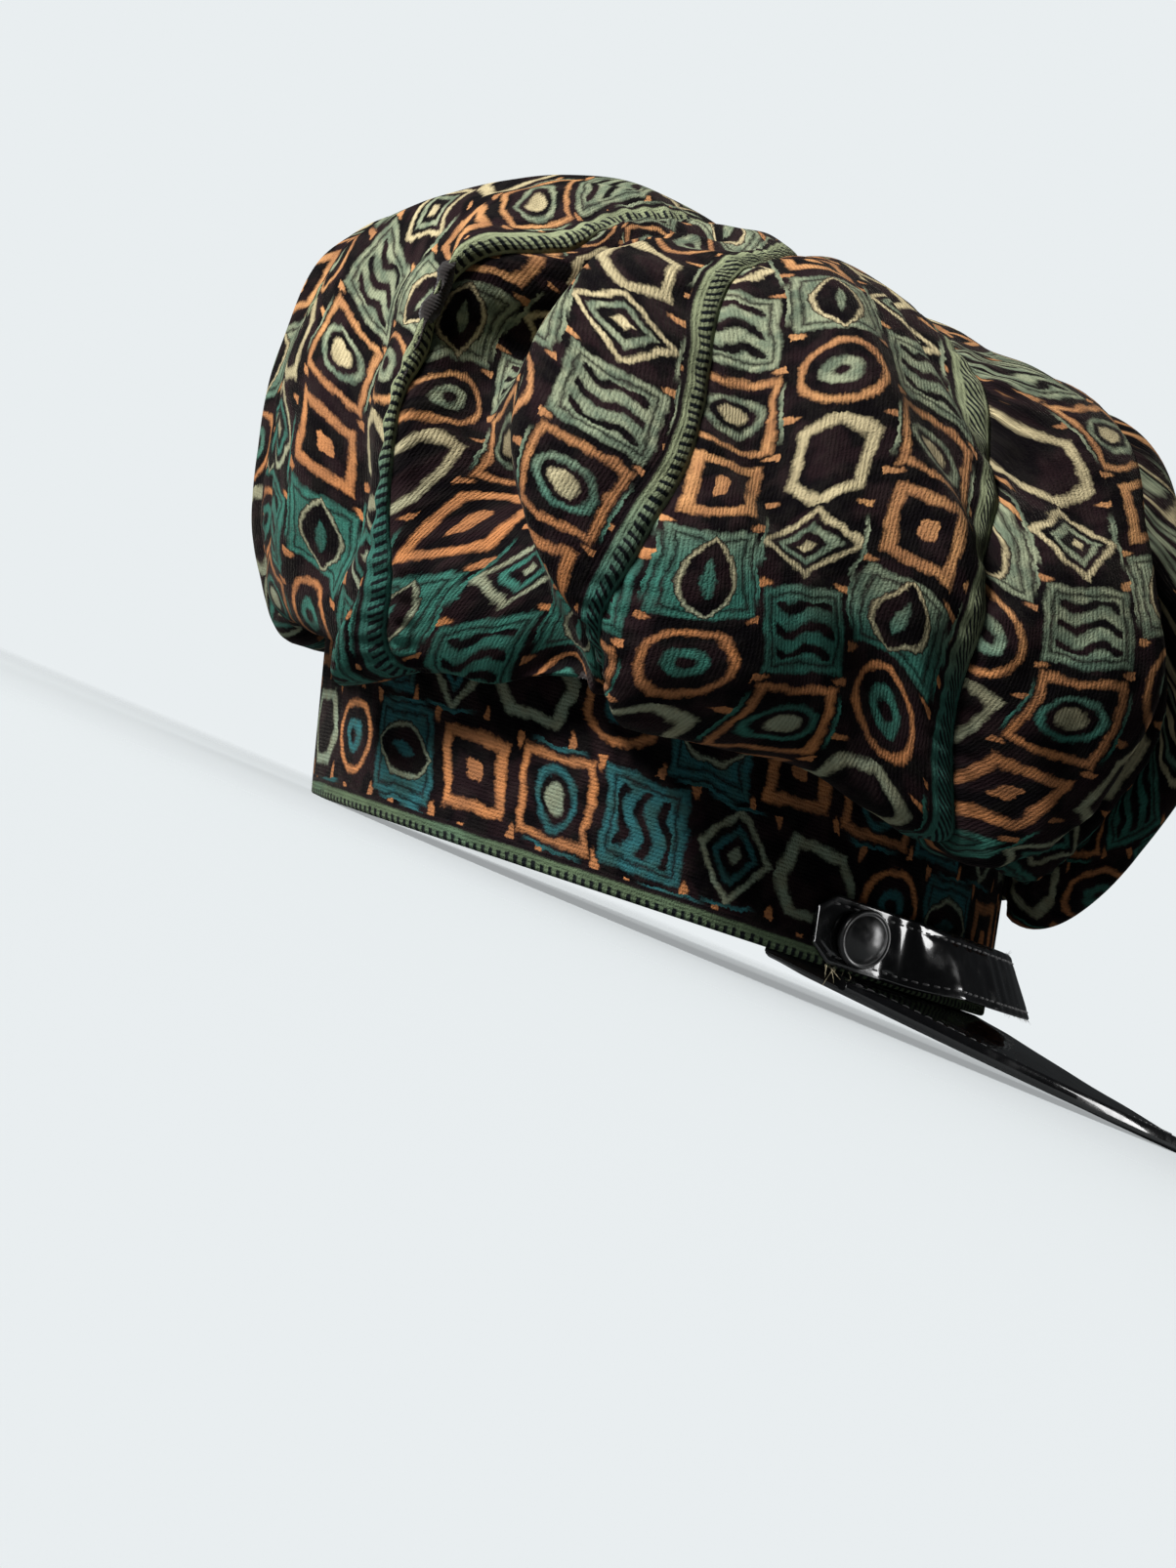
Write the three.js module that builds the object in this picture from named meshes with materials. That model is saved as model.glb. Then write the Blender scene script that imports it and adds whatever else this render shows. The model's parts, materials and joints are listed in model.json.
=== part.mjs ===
// An eight-panel cap of printed velvet cloth, with a glossy peak and a buttoned strap.
// Millimetres, +Z up, +X out over the peak, +Y the wearer's left.
// The cap is worked out level, with its rim on z = 0, and is then laid on a table:
// it rests on the back of the band's rim and on the peak's lowest edge.

import * as THREE from 'three';

// Driving dimensions: the band
const HEAD_LENGTH = 192;
const HEAD_WIDTH = 174;
const BAND_HEIGHT = 56;
const BAND_RAKE = 11;
const BAND_FLARE = 2;
const CLOTH = 2;
const SWEATBAND_HEIGHT = 30;
const SWEATBAND_THICKNESS = 1.2;
const SWEATBAND_INSET = 0.8;

// Driving dimensions: the crown
const CROWN_RISE = 122;
const CROWN_BLOUSE = 48;
const CROWN_DROOP = 32;
const TOP_SET_BACK = 5;
const TOP_EYE_RADIUS = 3;
const FOLD_DEPTH = 25;
const FOLD_WIDTH = 46;
const FOLD_LEAN = 17;
const SEAM_PINCH = 3.5;
const SEAM_WIDTH = 8;

// Driving dimensions: the peak
const PEAK_REACH = 67;
const PEAK_DROP = 16;
const PEAK_THICKNESS = 2.4;
const PEAK_EDGE_THICKNESS = 3.8;
const PEAK_HALF_ANGLE = THREE.MathUtils.degToRad(60);

// Driving dimensions: the strap and its buttons
const STRAP_WIDTH = 17;
const STRAP_THICKNESS = 1.8;
const STRAP_LIFT = 0.8;
const STRAP_BOW = 10;
const TAB_LENGTH = 13;
const TAB_END_WIDTH = 9;
const TAB_CUT = 5;
const BUTTON_RADIUS = 7.4;
const BUTTON_HEIGHT = 5;
const BUTTON_ANGLE = THREE.MathUtils.degToRad(58);

// Clearances
const SEAT_GAP = 0.3;
const POUCH_GAP = 0.9;
const SETTLE_DEPTH = 0.4;

// Fineness of the faceted solids
const PANEL_COLUMNS = 10;
const PANEL_ROWS = 22;
const RING_SECTIONS = 72;
const PEAK_SECTIONS = 32;
const STRAP_SECTIONS = 48;
const BUTTON_SIDES = 14;

const TURN = 2 * Math.PI;
const radians = THREE.MathUtils.degToRad;

// The crown's profile at eight angles, 45 degrees apart, from the front round by the wearer's left.
// spread: how far the fullest part stands out from the band, in CROWN_BLOUSE
// droop: how far the pouch hangs below the band's top edge, in CROWN_DROOP
// belly, shoulder, top: heights of the fullest part, the shoulder and the top, in CROWN_RISE
// shoulderOut: the shoulder's radius, in the band's radius there
const PROFILE = [
  { spread: 0.66, droop: 0.66, belly: 0.31, shoulder: 0.79, top: 0.90, shoulderOut: 1.00 },
  { spread: 1.00, droop: 0.81, belly: 0.30, shoulder: 0.80, top: 0.94, shoulderOut: 1.09 },
  { spread: 0.79, droop: 0.69, belly: 0.30, shoulder: 0.77, top: 0.95, shoulderOut: 1.10 },
  { spread: 0.56, droop: 0.54, belly: 0.36, shoulder: 0.82, top: 0.99, shoulderOut: 1.14 },
  { spread: 0.64, droop: 0.36, belly: 0.48, shoulder: 0.79, top: 1.04, shoulderOut: 1.20 },
  { spread: 0.58, droop: 0.57, belly: 0.36, shoulder: 0.77, top: 0.96, shoulderOut: 1.00 },
  { spread: 0.71, droop: 0.28, belly: 0.31, shoulder: 0.76, top: 0.94, shoulderOut: 1.08 },
  { spread: 0.65, droop: 0.53, belly: 0.30, shoulder: 0.72, top: 0.90, shoulderOut: 1.00 },
];

// The stations that are the same all round. The pouch's bottom and its outer side: their shares of
// the spread, and how far up towards the belly the outer side is. The top: its share of the band's
// radius.
const POUCH_BOTTOM_OUT = 0.32;
const POUCH_SIDE_OUT = 0.78;
const POUCH_SIDE_UP = 0.34;
const TOP_RING = 0.62;

// The seams between the panels. Each route is a list of [share of the way up, angle in degrees].
const SEAMS = [
  [[0, 232], [0.24, 233], [0.33, 235], [0.44, 233], [0.53, 229], [0.60, 225], [0.68, 225], [1, 228]],
  [[0, 264], [0.28, 266], [0.40, 263.5], [0.46, 262], [0.55, 261], [0.60, 260], [0.68, 259], [1, 270]],
  [[0, 300], [0.34, 300], [0.46, 297], [0.51, 296.5], [0.61, 298], [0.68, 297.5], [1, 308]],
  [[0, 343], [1, 343]],
  [[0, 392], [1, 392]],
  [[0, 441], [1, 441]],
  [[0, 490], [1, 490]],
  [[0, 540], [1, 540]],
];

// The folds that the full crown falls into, from the wearer's right round by the front.
// route: its crest, as a list of [share of the way up, angle in degrees]
// rise: how far it stands out, or is sunk, in FOLD_DEPTH
// before, after: its width on the side of smaller and of larger angles, in FOLD_WIDTH
// lean: how far its crest leans towards larger angles, in FOLD_LEAN
// edge: 1 is a soft crest, more is a sharper one
const FOLDS = [
  { rise: 0.40, before: 0.30, after: 0.56, lean: -0.76, edge: 1.6,
    route: [[0.12, 214], [0.22, 221], [0.36, 227], [0.52, 223], [0.66, 213]] },
  { rise: -0.32, before: 0.44, after: 0.30, lean: 0, edge: 1,
    route: [[0.27, 211], [0.34, 215], [0.52, 211], [0.62, 203]] },
  { rise: -0.96, before: 0.28, after: 0.28, lean: 0, edge: 1.2,
    route: [[0.38, 240], [0.48, 236], [0.55, 231.5], [0.61, 230], [0.68, 231], [0.80, 238]] },
  { rise: 0.24, before: 0.30, after: 0.26, lean: 0.35, edge: 1,
    route: [[0.54, 222], [0.60, 226], [0.68, 232], [0.80, 240]] },
  { rise: 0.60, before: 0.26, after: 1.00, lean: -1.00, edge: 1.5,
    route: [[0.16, 263], [0.22, 261], [0.33, 256], [0.44, 247], [0.52, 242], [0.60, 240], [0.70, 243]] },
  { rise: -0.40, before: 0.44, after: 0.22, lean: 0, edge: 1,
    route: [[0.12, 254], [0.28, 250], [0.38, 244], [0.46, 239]] },
  { rise: -0.24, before: 0.44, after: 0.30, lean: 0, edge: 1,
    route: [[0.60, 252], [0.70, 250], [0.80, 248]] },
  { rise: -0.32, before: 0.35, after: 0.44, lean: 0, edge: 1,
    route: [[0.34, 290], [0.46, 281], [0.54, 268], [0.64, 260]] },
  { rise: 0.20, before: 0.40, after: 0.30, lean: 0, edge: 1,
    route: [[0.44, 300], [0.54, 291], [0.60, 280], [0.72, 268]] },
  { rise: -0.24, before: 0.26, after: 0.26, lean: 0, edge: 1,
    route: [[0.56, 306], [0.62, 298], [0.70, 290], [0.80, 284]] },
  { rise: 0.60, before: 1.00, after: 0.28, lean: 0.82, edge: 1.5,
    route: [[0.18, 306], [0.32, 317], [0.44, 318], [0.56, 317], [0.72, 318]] },
  { rise: -0.80, before: 0.30, after: 0.40, lean: 0, edge: 1,
    route: [[0.23, 327], [0.40, 330], [0.56, 330], [0.72, 332]] },
  { rise: 0.36, before: 0.56, after: 0.74, lean: -0.47, edge: 1.2,
    route: [[0.10, 349], [0.30, 347], [0.54, 347], [0.74, 348]] },
  { rise: -0.44, before: 0.40, after: 0.35, lean: 0, edge: 1.1,
    route: [[0.24, 374], [0.34, 377], [0.50, 380], [0.72, 378]] },
  { rise: 0.40, before: 0.30, after: 0.65, lean: -0.70, edge: 1.4,
    route: [[0.12, 388], [0.30, 394], [0.50, 398], [0.70, 396]] },
  { rise: -0.36, before: 0.40, after: 0.40, lean: 0, edge: 1,
    route: [[0.14, 412], [0.34, 416], [0.52, 424], [0.74, 428]] },
  { rise: 0.36, before: 0.65, after: 0.30, lean: 0.70, edge: 1.4,
    route: [[0.10, 436], [0.30, 434], [0.50, 438], [0.70, 444]] },
  { rise: -0.48, before: 0.30, after: 0.40, lean: 0, edge: 1.1,
    route: [[0.24, 452], [0.36, 452], [0.52, 456], [0.74, 462]] },
  { rise: -0.28, before: 0.30, after: 0.26, lean: 0, edge: 1,
    route: [[0.18, 466], [0.36, 468], [0.54, 466], [0.70, 464]] },
  { rise: 0.40, before: 0.30, after: 0.65, lean: -0.70, edge: 1.4,
    route: [[0.12, 476], [0.30, 480], [0.50, 478], [0.70, 474]] },
  { rise: -0.36, before: 0.35, after: 0.35, lean: 0, edge: 1.1,
    route: [[0.26, 507], [0.36, 504], [0.52, 508], [0.72, 514]] },
  { rise: 0.20, before: 0.56, after: 0.35, lean: 0.53, edge: 1.3,
    route: [[0.10, 524], [0.28, 528], [0.50, 532], [0.70, 530]] },
  { rise: -0.20, before: 0.40, after: 0.40, lean: 0, edge: 1,
    route: [[0.26, 549], [0.36, 550], [0.54, 546], [0.72, 544]] },
];

// Small helpers for curves
function clamp(value, low, high) {
  return Math.min(Math.max(value, low), high);
}

function smooth(share) {
  const x = clamp(share, 0, 1);
  return x * x * (3 - 2 * x);
}

// A Catmull-Rom curve through p1 and p2, with p0 and p3 as their neighbours
function catmull(p0, p1, p2, p3, t) {
  const slope = p2 - p0;
  const bend = 2 * p0 - 5 * p1 + 4 * p2 - p3;
  const twist = 3 * p1 - p0 - 3 * p2 + p3;
  return 0.5 * (2 * p1 + slope * t + bend * t * t + twist * t * t * t);
}

// The slope of a route at one of its points, from the points on both sides
function routeSlope(route, i) {
  const stepAt = (k) => (route[k + 1][1] - route[k][1]) / (route[k + 1][0] - route[k][0]);
  const last = route.length - 1;
  if (i === 0) return stepAt(0);
  if (i === last) return stepAt(last - 1);
  const before = route[i][0] - route[i - 1][0];
  const after = route[i + 1][0] - route[i][0];
  return (stepAt(i) * before + stepAt(i - 1) * after) / (before + after);
}

// The angle of a route at a share s of the way up, straight beyond both its ends
function routeAngle(route, s) {
  const last = route.length - 1;
  if (s <= route[0][0]) return route[0][1] + (s - route[0][0]) * routeSlope(route, 0);
  if (s >= route[last][0]) return route[last][1] + (s - route[last][0]) * routeSlope(route, last);
  let i = 0;
  while (s > route[i + 1][0]) i += 1;
  const span = route[i + 1][0] - route[i][0];
  const t = (s - route[i][0]) / span;
  const rise = 3 * t * t - 2 * t * t * t;
  const leave = (t * t * t - 2 * t * t + t) * span * routeSlope(route, i);
  const arrive = (t * t * t - t * t) * span * routeSlope(route, i + 1);
  return route[i][1] + rise * (route[i + 1][1] - route[i][1]) + leave + arrive;
}

// The difference of two angles, from -180 to 180 degrees
function turnBetween(degrees, centre) {
  return THREE.MathUtils.euclideanModulo(degrees - centre + 180, 360) - 180;
}

// The band's outline: an ellipse that grows by the flare towards the top and leans back
function bandRadius(angle, grow) {
  const a = HEAD_LENGTH / 2 + grow;
  const b = HEAD_WIDTH / 2 + grow;
  return a * b / Math.hypot(b * Math.cos(angle), a * Math.sin(angle));
}

function rakeAt(z) {
  return -BAND_RAKE * z / BAND_HEIGHT;
}

function bandPoint(angle, z, outward) {
  const radius = bandRadius(angle, BAND_FLARE * z / BAND_HEIGHT + outward);
  return new THREE.Vector3(rakeAt(z) + radius * Math.cos(angle), radius * Math.sin(angle), z);
}

// The crown's smooth form, before its folds. The seven stations of the profile go from the band's
// top edge down round the pouch, out to the belly, up to the shoulder and in to the top.
const CROWN_SEAT = BAND_HEIGHT + SEAT_GAP;
const PROFILE_STEPS = 6;
const SET_BACK_START = 0.6;

function profileAt(angle) {
  const x = THREE.MathUtils.euclideanModulo(angle / TURN, 1) * PROFILE.length;
  const i = Math.floor(x);
  const row = (k) => PROFILE[(i + k + PROFILE.length) % PROFILE.length];
  const value = (name) => catmull(row(-1)[name], row(0)[name], row(1)[name], row(2)[name], x - i);
  const seat = bandRadius(angle, BAND_FLARE) + SEAT_GAP;
  const over = value('spread') * CROWN_BLOUSE;
  const pouch = BAND_HEIGHT - value('droop') * CROWN_DROOP;
  const belly = BAND_HEIGHT + value('belly') * CROWN_RISE;
  const shoulder = BAND_HEIGHT + value('shoulder') * CROWN_RISE;
  const top = BAND_HEIGHT + value('top') * CROWN_RISE;
  return {
    radii: [seat, seat + POUCH_BOTTOM_OUT * over, seat + POUCH_SIDE_OUT * over, seat + over,
      seat * value('shoulderOut'), seat * TOP_RING, 0],
    heights: [CROWN_SEAT, pouch, pouch + POUCH_SIDE_UP * (belly - pouch), belly,
      shoulder, top, BAND_HEIGHT + CROWN_RISE],
  };
}

function alongStations(stations, x) {
  const i = Math.min(Math.floor(x), PROFILE_STEPS - 1);
  const before = i > 0 ? stations[i - 1] : 2 * stations[0] - stations[1];
  const beyond = i < PROFILE_STEPS - 1 ? stations[i + 2] : 2 * stations[i + 1] - stations[i];
  return catmull(before, stations[i], stations[i + 1], beyond, x - i);
}

function smoothCrown(angle, s) {
  const { radii, heights } = profileAt(angle);
  const share = clamp(s, 0, 1);
  const radius = alongStations(radii, share * PROFILE_STEPS);
  const height = alongStations(heights, share * PROFILE_STEPS);
  const back = clamp((share - SET_BACK_START) / (1 - SET_BACK_START), 0, 1) ** 2;
  const shift = -BAND_RAKE - TOP_SET_BACK * back;
  return new THREE.Vector3(shift + radius * Math.cos(angle), radius * Math.sin(angle), height);
}

// Directions on the smooth crown: round, up and outward
function crownFrame(angle, s, step = 0.001) {
  const round = smoothCrown(angle + step, s).sub(smoothCrown(angle - step, s));
  const up = smoothCrown(angle, s + step).sub(smoothCrown(angle, s - step));
  const out = round.clone().cross(up).normalize();
  return { round: round.normalize(), out };
}

// How far a fold is present at a share s: it fades in round its first point and out round its last
const FADE_IN = { before: 0.06, over: 0.14 };
const FADE_OUT = { after: 0.08, over: 0.18 };

function foldWindow(route, s) {
  const entered = s - route[0][0] + FADE_IN.before;
  const left = route[route.length - 1][0] + FADE_OUT.after - s;
  return smooth(entered / FADE_IN.over) * smooth(left / FADE_OUT.over);
}

// The folded crown: each fold lifts the smooth form outward and leans it sideways, and each seam
// pulls it in a little while the cloth beside it puffs out. Round the narrow pouch the dents are
// shallow, and close to the top, inside SMALLEST_ROUND, the folds lean no further round.
const POUCH_TOP = 0.3;
const POUCH_DENT = 0.35;
const SEAM_PUFF = 0.35;
const SMALLEST_ROUND = 30;

function crownPoint(angle, s) {
  const point = smoothCrown(angle, s);
  const { round, out } = crownFrame(angle, s);
  const radius = Math.hypot(point.x + BAND_RAKE + TOP_SET_BACK, point.y);
  const degrees = THREE.MathUtils.radToDeg(angle);
  let rise = 0;
  let lean = 0;
  for (const fold of FOLDS) {
    const present = foldWindow(fold.route, s);
    if (present === 0) continue;
    const reach = fold.lean * FOLD_LEAN;
    const drift = THREE.MathUtils.radToDeg(reach * present / Math.max(radius, SMALLEST_ROUND));
    const away = radians(turnBetween(degrees, routeAngle(fold.route, s) - drift)) * radius;
    const width = (away < 0 ? fold.before : fold.after) * FOLD_WIDTH;
    const both = 0.5 * (fold.before + fold.after) * FOLD_WIDTH;
    const share = fold.rise < 0 ? THREE.MathUtils.lerp(POUCH_DENT, 1, smooth(s / POUCH_TOP)) : 1;
    const height = fold.rise * FOLD_DEPTH * present * share;
    rise += height * (1 - smooth(Math.abs(away) / width)) ** fold.edge;
    lean += reach * present * (1 - smooth(Math.abs(away) / both));
  }
  let seamAway = Infinity;
  for (const seam of SEAMS) {
    const away = radians(turnBetween(degrees, routeAngle(seam, s))) * radius;
    seamAway = Math.min(seamAway, Math.abs(away));
  }
  const fade = smooth(s / POUCH_TOP) * clamp(radius / (TOP_RING * HEAD_LENGTH / 2), 0, 1);
  rise += SEAM_PINCH * fade * (SEAM_PUFF - Math.exp(-((seamAway / SEAM_WIDTH) ** 2)));
  point.addScaledVector(out, rise).addScaledVector(round, lean);
  return clearOfBand(point);
}

// Cloth that hangs beside the band stays just outside it
function clearOfBand(point) {
  if (point.z >= CROWN_SEAT) return point;
  const x = point.x - rakeAt(point.z);
  const angle = Math.atan2(point.y, x);
  const outside = bandRadius(angle, BAND_FLARE) + POUCH_GAP;
  const radius = Math.max(Math.hypot(x, point.y), outside);
  const shift = rakeAt(point.z);
  return new THREE.Vector3(shift + radius * Math.cos(angle), radius * Math.sin(angle), point.z);
}

// A closed body between an outer and an inner grid of points
function shell(outer, inner) {
  const columns = outer.length;
  const rows = outer[0].length;
  const positions = [...outer.flat(), ...inner.flat()].flatMap((p) => [p.x, p.y, p.z]);
  const at = (i, j) => i * rows + j;
  const under = columns * rows;
  const index = [];
  const quad = (a, b, c, d) => index.push(a, b, c, a, c, d);
  for (let i = 0; i < columns - 1; i += 1) {
    for (let j = 0; j < rows - 1; j += 1) {
      const [a, b, c, d] = [at(i, j), at(i + 1, j), at(i + 1, j + 1), at(i, j + 1)];
      quad(a, b, c, d);
      quad(c + under, b + under, a + under, d + under);
    }
  }
  const rim = [];
  for (let i = 0; i < columns - 1; i += 1) rim.push(at(i, 0));
  for (let j = 0; j < rows - 1; j += 1) rim.push(at(columns - 1, j));
  for (let i = columns - 1; i > 0; i -= 1) rim.push(at(i, rows - 1));
  for (let j = rows - 1; j > 0; j -= 1) rim.push(at(0, j));
  // Each wall of the rim is split from its lower outer corner, whichever way the rim runs there,
  // so that the edges of two neighbours have the same facets
  rim.forEach((a, k) => {
    const b = rim[(k + 1) % rim.length];
    if (a < b) quad(a, a + under, b + under, b);
    else quad(b, a, a + under, b + under);
  });
  return bodyOf(positions, index);
}

// A closed body through loops of points: a ring when it joins up, and otherwise with two end caps
function loft(loops, joined) {
  const sides = loops[0].length;
  const positions = loops.flat().flatMap((p) => [p.x, p.y, p.z]);
  const index = [];
  const spans = joined ? loops.length : loops.length - 1;
  for (let k = 0; k < spans; k += 1) {
    for (let p = 0; p < sides; p += 1) {
      const next = ((k + 1) % loops.length) * sides;
      const a = k * sides + p;
      const b = next + p;
      const c = next + ((p + 1) % sides);
      const d = k * sides + ((p + 1) % sides);
      index.push(a, b, c, a, c, d);
    }
  }
  if (!joined) {
    const end = (loops.length - 1) * sides;
    for (let p = 1; p < sides - 1; p += 1) {
      index.push(0, p, p + 1);
      index.push(end, end + p + 1, end + p);
    }
  }
  return bodyOf(positions, index);
}

function bodyOf(positions, index) {
  const geometry = new THREE.BufferGeometry();
  geometry.setAttribute('position', new THREE.Float32BufferAttribute(positions, 3));
  geometry.setIndex(index);
  geometry.computeVertexNormals();
  return geometry;
}

// The crown's outer points: one closed grid round all eight panels, so that neighbouring panels
// share the points of their seam
const TOP_SHARE = 1 - TOP_EYE_RADIUS / (PROFILE_STEPS * TOP_RING * HEAD_WIDTH / 2);

function crownGrid() {
  return SEAMS.flatMap((seam, k) => {
    const next = SEAMS[(k + 1) % SEAMS.length];
    const lap = k === SEAMS.length - 1 ? 360 : 0;
    return Array.from({ length: PANEL_COLUMNS }, (_, i) => (
      Array.from({ length: PANEL_ROWS + 1 }, (__, j) => {
        const s = TOP_SHARE * j / PANEL_ROWS;
        const start = routeAngle(seam, s);
        const end = routeAngle(next, s) + lap;
        return crownPoint(radians(start + (end - start) * i / PANEL_COLUMNS), s);
      })
    ));
  });
}

// The step from an outer point to the inner face of the cloth: the move that lies one wall behind
// every facet round the point, as nearly as one move can. It is held to the mean direction of the
// facets, lightly on the sides and firmly in the small facets at the top.
const LONGEST_STEP = 1.4;
const SIDE_HOLD = 0.05;
const TOP_HOLD = 2;

function wallStep(grid, i, j) {
  const at = (p, q) => grid[(p + grid.length) % grid.length][q];
  const normals = [];
  for (const p of [i - 1, i]) {
    for (const q of [j - 1, j]) {
      if (q < 0 || q >= PANEL_ROWS) continue;
      const first = at(p + 1, q).clone().sub(at(p, q));
      const across = at(p + 1, q + 1).clone().sub(at(p, q));
      const last = at(p, q + 1).clone().sub(at(p, q));
      normals.push(first.cross(across).normalize(), across.clone().cross(last).normalize());
    }
  }
  const sum = normals.reduce((total, n) => total.add(n), new THREE.Vector3());
  const mean = sum.clone().normalize();
  const atTop = smooth((j / PANEL_ROWS - 0.8) / 0.15);
  const hold = (SIDE_HOLD + TOP_HOLD * atTop) * normals.length;
  const squares = (a, b) => normals.reduce((total, n) => total + n[a] * n[b], a === b ? hold : 0);
  const matrix = new THREE.Matrix3().set(
    squares('x', 'x'), squares('x', 'y'), squares('x', 'z'),
    squares('y', 'x'), squares('y', 'y'), squares('y', 'z'),
    squares('z', 'x'), squares('z', 'y'), squares('z', 'z'),
  );
  const step = sum.addScaledVector(mean, hold).multiplyScalar(-CLOTH).applyMatrix3(matrix.invert());
  return step.clampLength(CLOTH, LONGEST_STEP * CLOTH);
}

// One crown panel: its columns of the grid, with those on its two seams moved in by half the gap
function crownPanel(grid, k) {
  const outer = [];
  const inner = [];
  for (let i = 0; i <= PANEL_COLUMNS; i += 1) {
    const column = (k * PANEL_COLUMNS + i) % grid.length;
    const side = (i === 0 ? 1 : 0) - (i === PANEL_COLUMNS ? 1 : 0);
    const steps = grid[column].map((_, j) => wallStep(grid, column, j));
    const moved = grid[column].map((point, j) => {
      const along = grid[column][Math.min(j + 1, PANEL_ROWS)].clone()
        .sub(grid[column][Math.max(j - 1, 0)]);
      const across = steps[j].clone().cross(along).normalize();
      return point.clone().addScaledVector(across, side * SEAT_GAP / 2);
    });
    outer.push(moved);
    inner.push(moved.map((point, j) => point.clone().add(steps[j])));
  }
  return shell(outer, inner);
}

// A ring of cloth that follows the band, from one height to another, set inward by inset
function bandRing(bottom, top, inset, thickness) {
  const loops = [];
  for (let k = 0; k < RING_SECTIONS; k += 1) {
    const angle = TURN * k / RING_SECTIONS;
    const middle = (bottom + top) / 2;
    loops.push([
      bandPoint(angle, bottom, -inset),
      bandPoint(angle, middle, -inset),
      bandPoint(angle, top, -inset),
      bandPoint(angle, top, -inset - thickness),
      bandPoint(angle, middle, -inset - thickness),
      bandPoint(angle, bottom, -inset - thickness),
    ]);
  }
  return loops;
}

// The peak: its outline leaves the band at both sides and is a full, round curve at the front.
// It falls away from the band, fast at first, and its bound edge is thick and round.
const PEAK_FULLNESS = 2.2;
const PEAK_CORNER = 3 * PEAK_THICKNESS;

function peakOutline(t) {
  const corner = bandPoint(PEAK_HALF_ANGLE, 0, -CLOTH)
    .addScaledVector(rimOutward(PEAK_HALF_ANGLE), PEAK_CORNER);
  const length = HEAD_LENGTH / 2 + PEAK_REACH - corner.x;
  const share = t / PEAK_HALF_ANGLE * Math.PI / 2;
  const power = 2 / PEAK_FULLNESS;
  return {
    x: corner.x + length * Math.abs(Math.cos(share)) ** power,
    y: corner.y * Math.sign(share) * Math.abs(Math.sin(share)) ** power,
  };
}

function peakLoops() {
  const loops = [];
  for (let k = 0; k <= PEAK_SECTIONS; k += 1) {
    const t = PEAK_HALF_ANGLE * Math.sin((2 * k / PEAK_SECTIONS - 1) * Math.PI / 2);
    const root = bandPoint(t, 0, -CLOTH);
    const tip = peakOutline(t);
    const away = new THREE.Vector3(tip.x - root.x, tip.y - root.y, 0);
    const length = away.length();
    away.normalize();
    const full = smooth((length - PEAK_CORNER) / (2 * PEAK_EDGE_THICKNESS));
    const edge = THREE.MathUtils.lerp(PEAK_THICKNESS, PEAK_EDGE_THICKNESS, full);
    const place = (distance, height) => {
      const fall = PEAK_DROP * distance / (PEAK_REACH + CLOTH);
      return root.clone().addScaledVector(away, distance)
        .setZ(-SEAT_GAP - PEAK_THICKNESS / 2 - fall + height);
    };
    const bead = length - edge / 2;
    const neck = bead - edge * 0.6;
    const loop = [];
    for (const degrees of [-90, -30, 30, 90]) {
      const reach = Math.cos(radians(degrees)) * edge / 2;
      loop.push(place(bead + reach, Math.sin(radians(degrees)) * edge / 2));
    }
    for (const share of [1, 0.66, 0.33, 0.1, 0]) loop.push(place(neck * share, PEAK_THICKNESS / 2));
    for (const share of [0, 0.1, 0.33, 0.66, 1]) loop.push(place(neck * share, -PEAK_THICKNESS / 2));
    loops.push(loop);
  }
  return loops;
}

// Distances along the band's rim, for pieces that follow it
function rimLength(from, to) {
  const steps = 40;
  let length = 0;
  for (let k = 0; k < steps; k += 1) {
    const a = bandPoint(THREE.MathUtils.lerp(from, to, k / steps), 0, 0);
    const b = bandPoint(THREE.MathUtils.lerp(from, to, (k + 1) / steps), 0, 0);
    length += a.distanceTo(b);
  }
  return length;
}

function rimOutward(angle) {
  const a = HEAD_LENGTH / 2;
  const b = HEAD_WIDTH / 2;
  return new THREE.Vector3(Math.cos(angle) / a ** 2, Math.sin(angle) / b ** 2, 0).normalize();
}

// How far the strap stands off the band: flat under each button, bowed out between them
function strapBow(angle) {
  const fromButton = rimLength(Math.abs(angle), BUTTON_ANGLE);
  const inside = Math.abs(angle) < BUTTON_ANGLE ? fromButton - BUTTON_RADIUS : 0;
  return STRAP_BOW * smooth(inside / (3 * BUTTON_RADIUS));
}

// Where the strap bows out, it tips: its upper edge stands out by this share of its lower edge's bow
const STRAP_UPPER_BOW = 0.2;
const STRAP_MIDDLE = STRAP_LIFT + STRAP_WIDTH / 2;

function strapPoint(angle, z, depth, bow) {
  return bandPoint(angle, z, 0).addScaledVector(rimOutward(angle), SEAT_GAP + bow + depth);
}

function strapLoops() {
  const tabAngle = BUTTON_ANGLE + TAB_LENGTH / (rimLength(BUTTON_ANGLE - 0.1, BUTTON_ANGLE + 0.1) / 0.2);
  const loops = [];
  for (let k = 0; k <= STRAP_SECTIONS; k += 1) {
    const angle = tabAngle * (2 * k / STRAP_SECTIONS - 1);
    const fromEnd = rimLength(Math.abs(angle), tabAngle);
    const width = THREE.MathUtils.lerp(TAB_END_WIDTH, STRAP_WIDTH, clamp(fromEnd / TAB_CUT, 0, 1));
    const bow = strapBow(angle);
    const upperBow = bow * STRAP_UPPER_BOW;
    const high = STRAP_MIDDLE + width / 2;
    const low = high - Math.sqrt(width ** 2 - (bow - upperBow) ** 2);
    const round = STRAP_THICKNESS / 3;
    loops.push([
      strapPoint(angle, low + round, STRAP_THICKNESS, bow),
      strapPoint(angle, high - round, STRAP_THICKNESS, upperBow),
      strapPoint(angle, high, STRAP_THICKNESS - round, upperBow),
      strapPoint(angle, high, round, upperBow),
      strapPoint(angle, high - round, 0, upperBow),
      strapPoint(angle, low + round, 0, bow),
      strapPoint(angle, low, round, bow),
      strapPoint(angle, low, STRAP_THICKNESS - round, bow),
    ]);
  }
  return loops;
}

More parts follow.
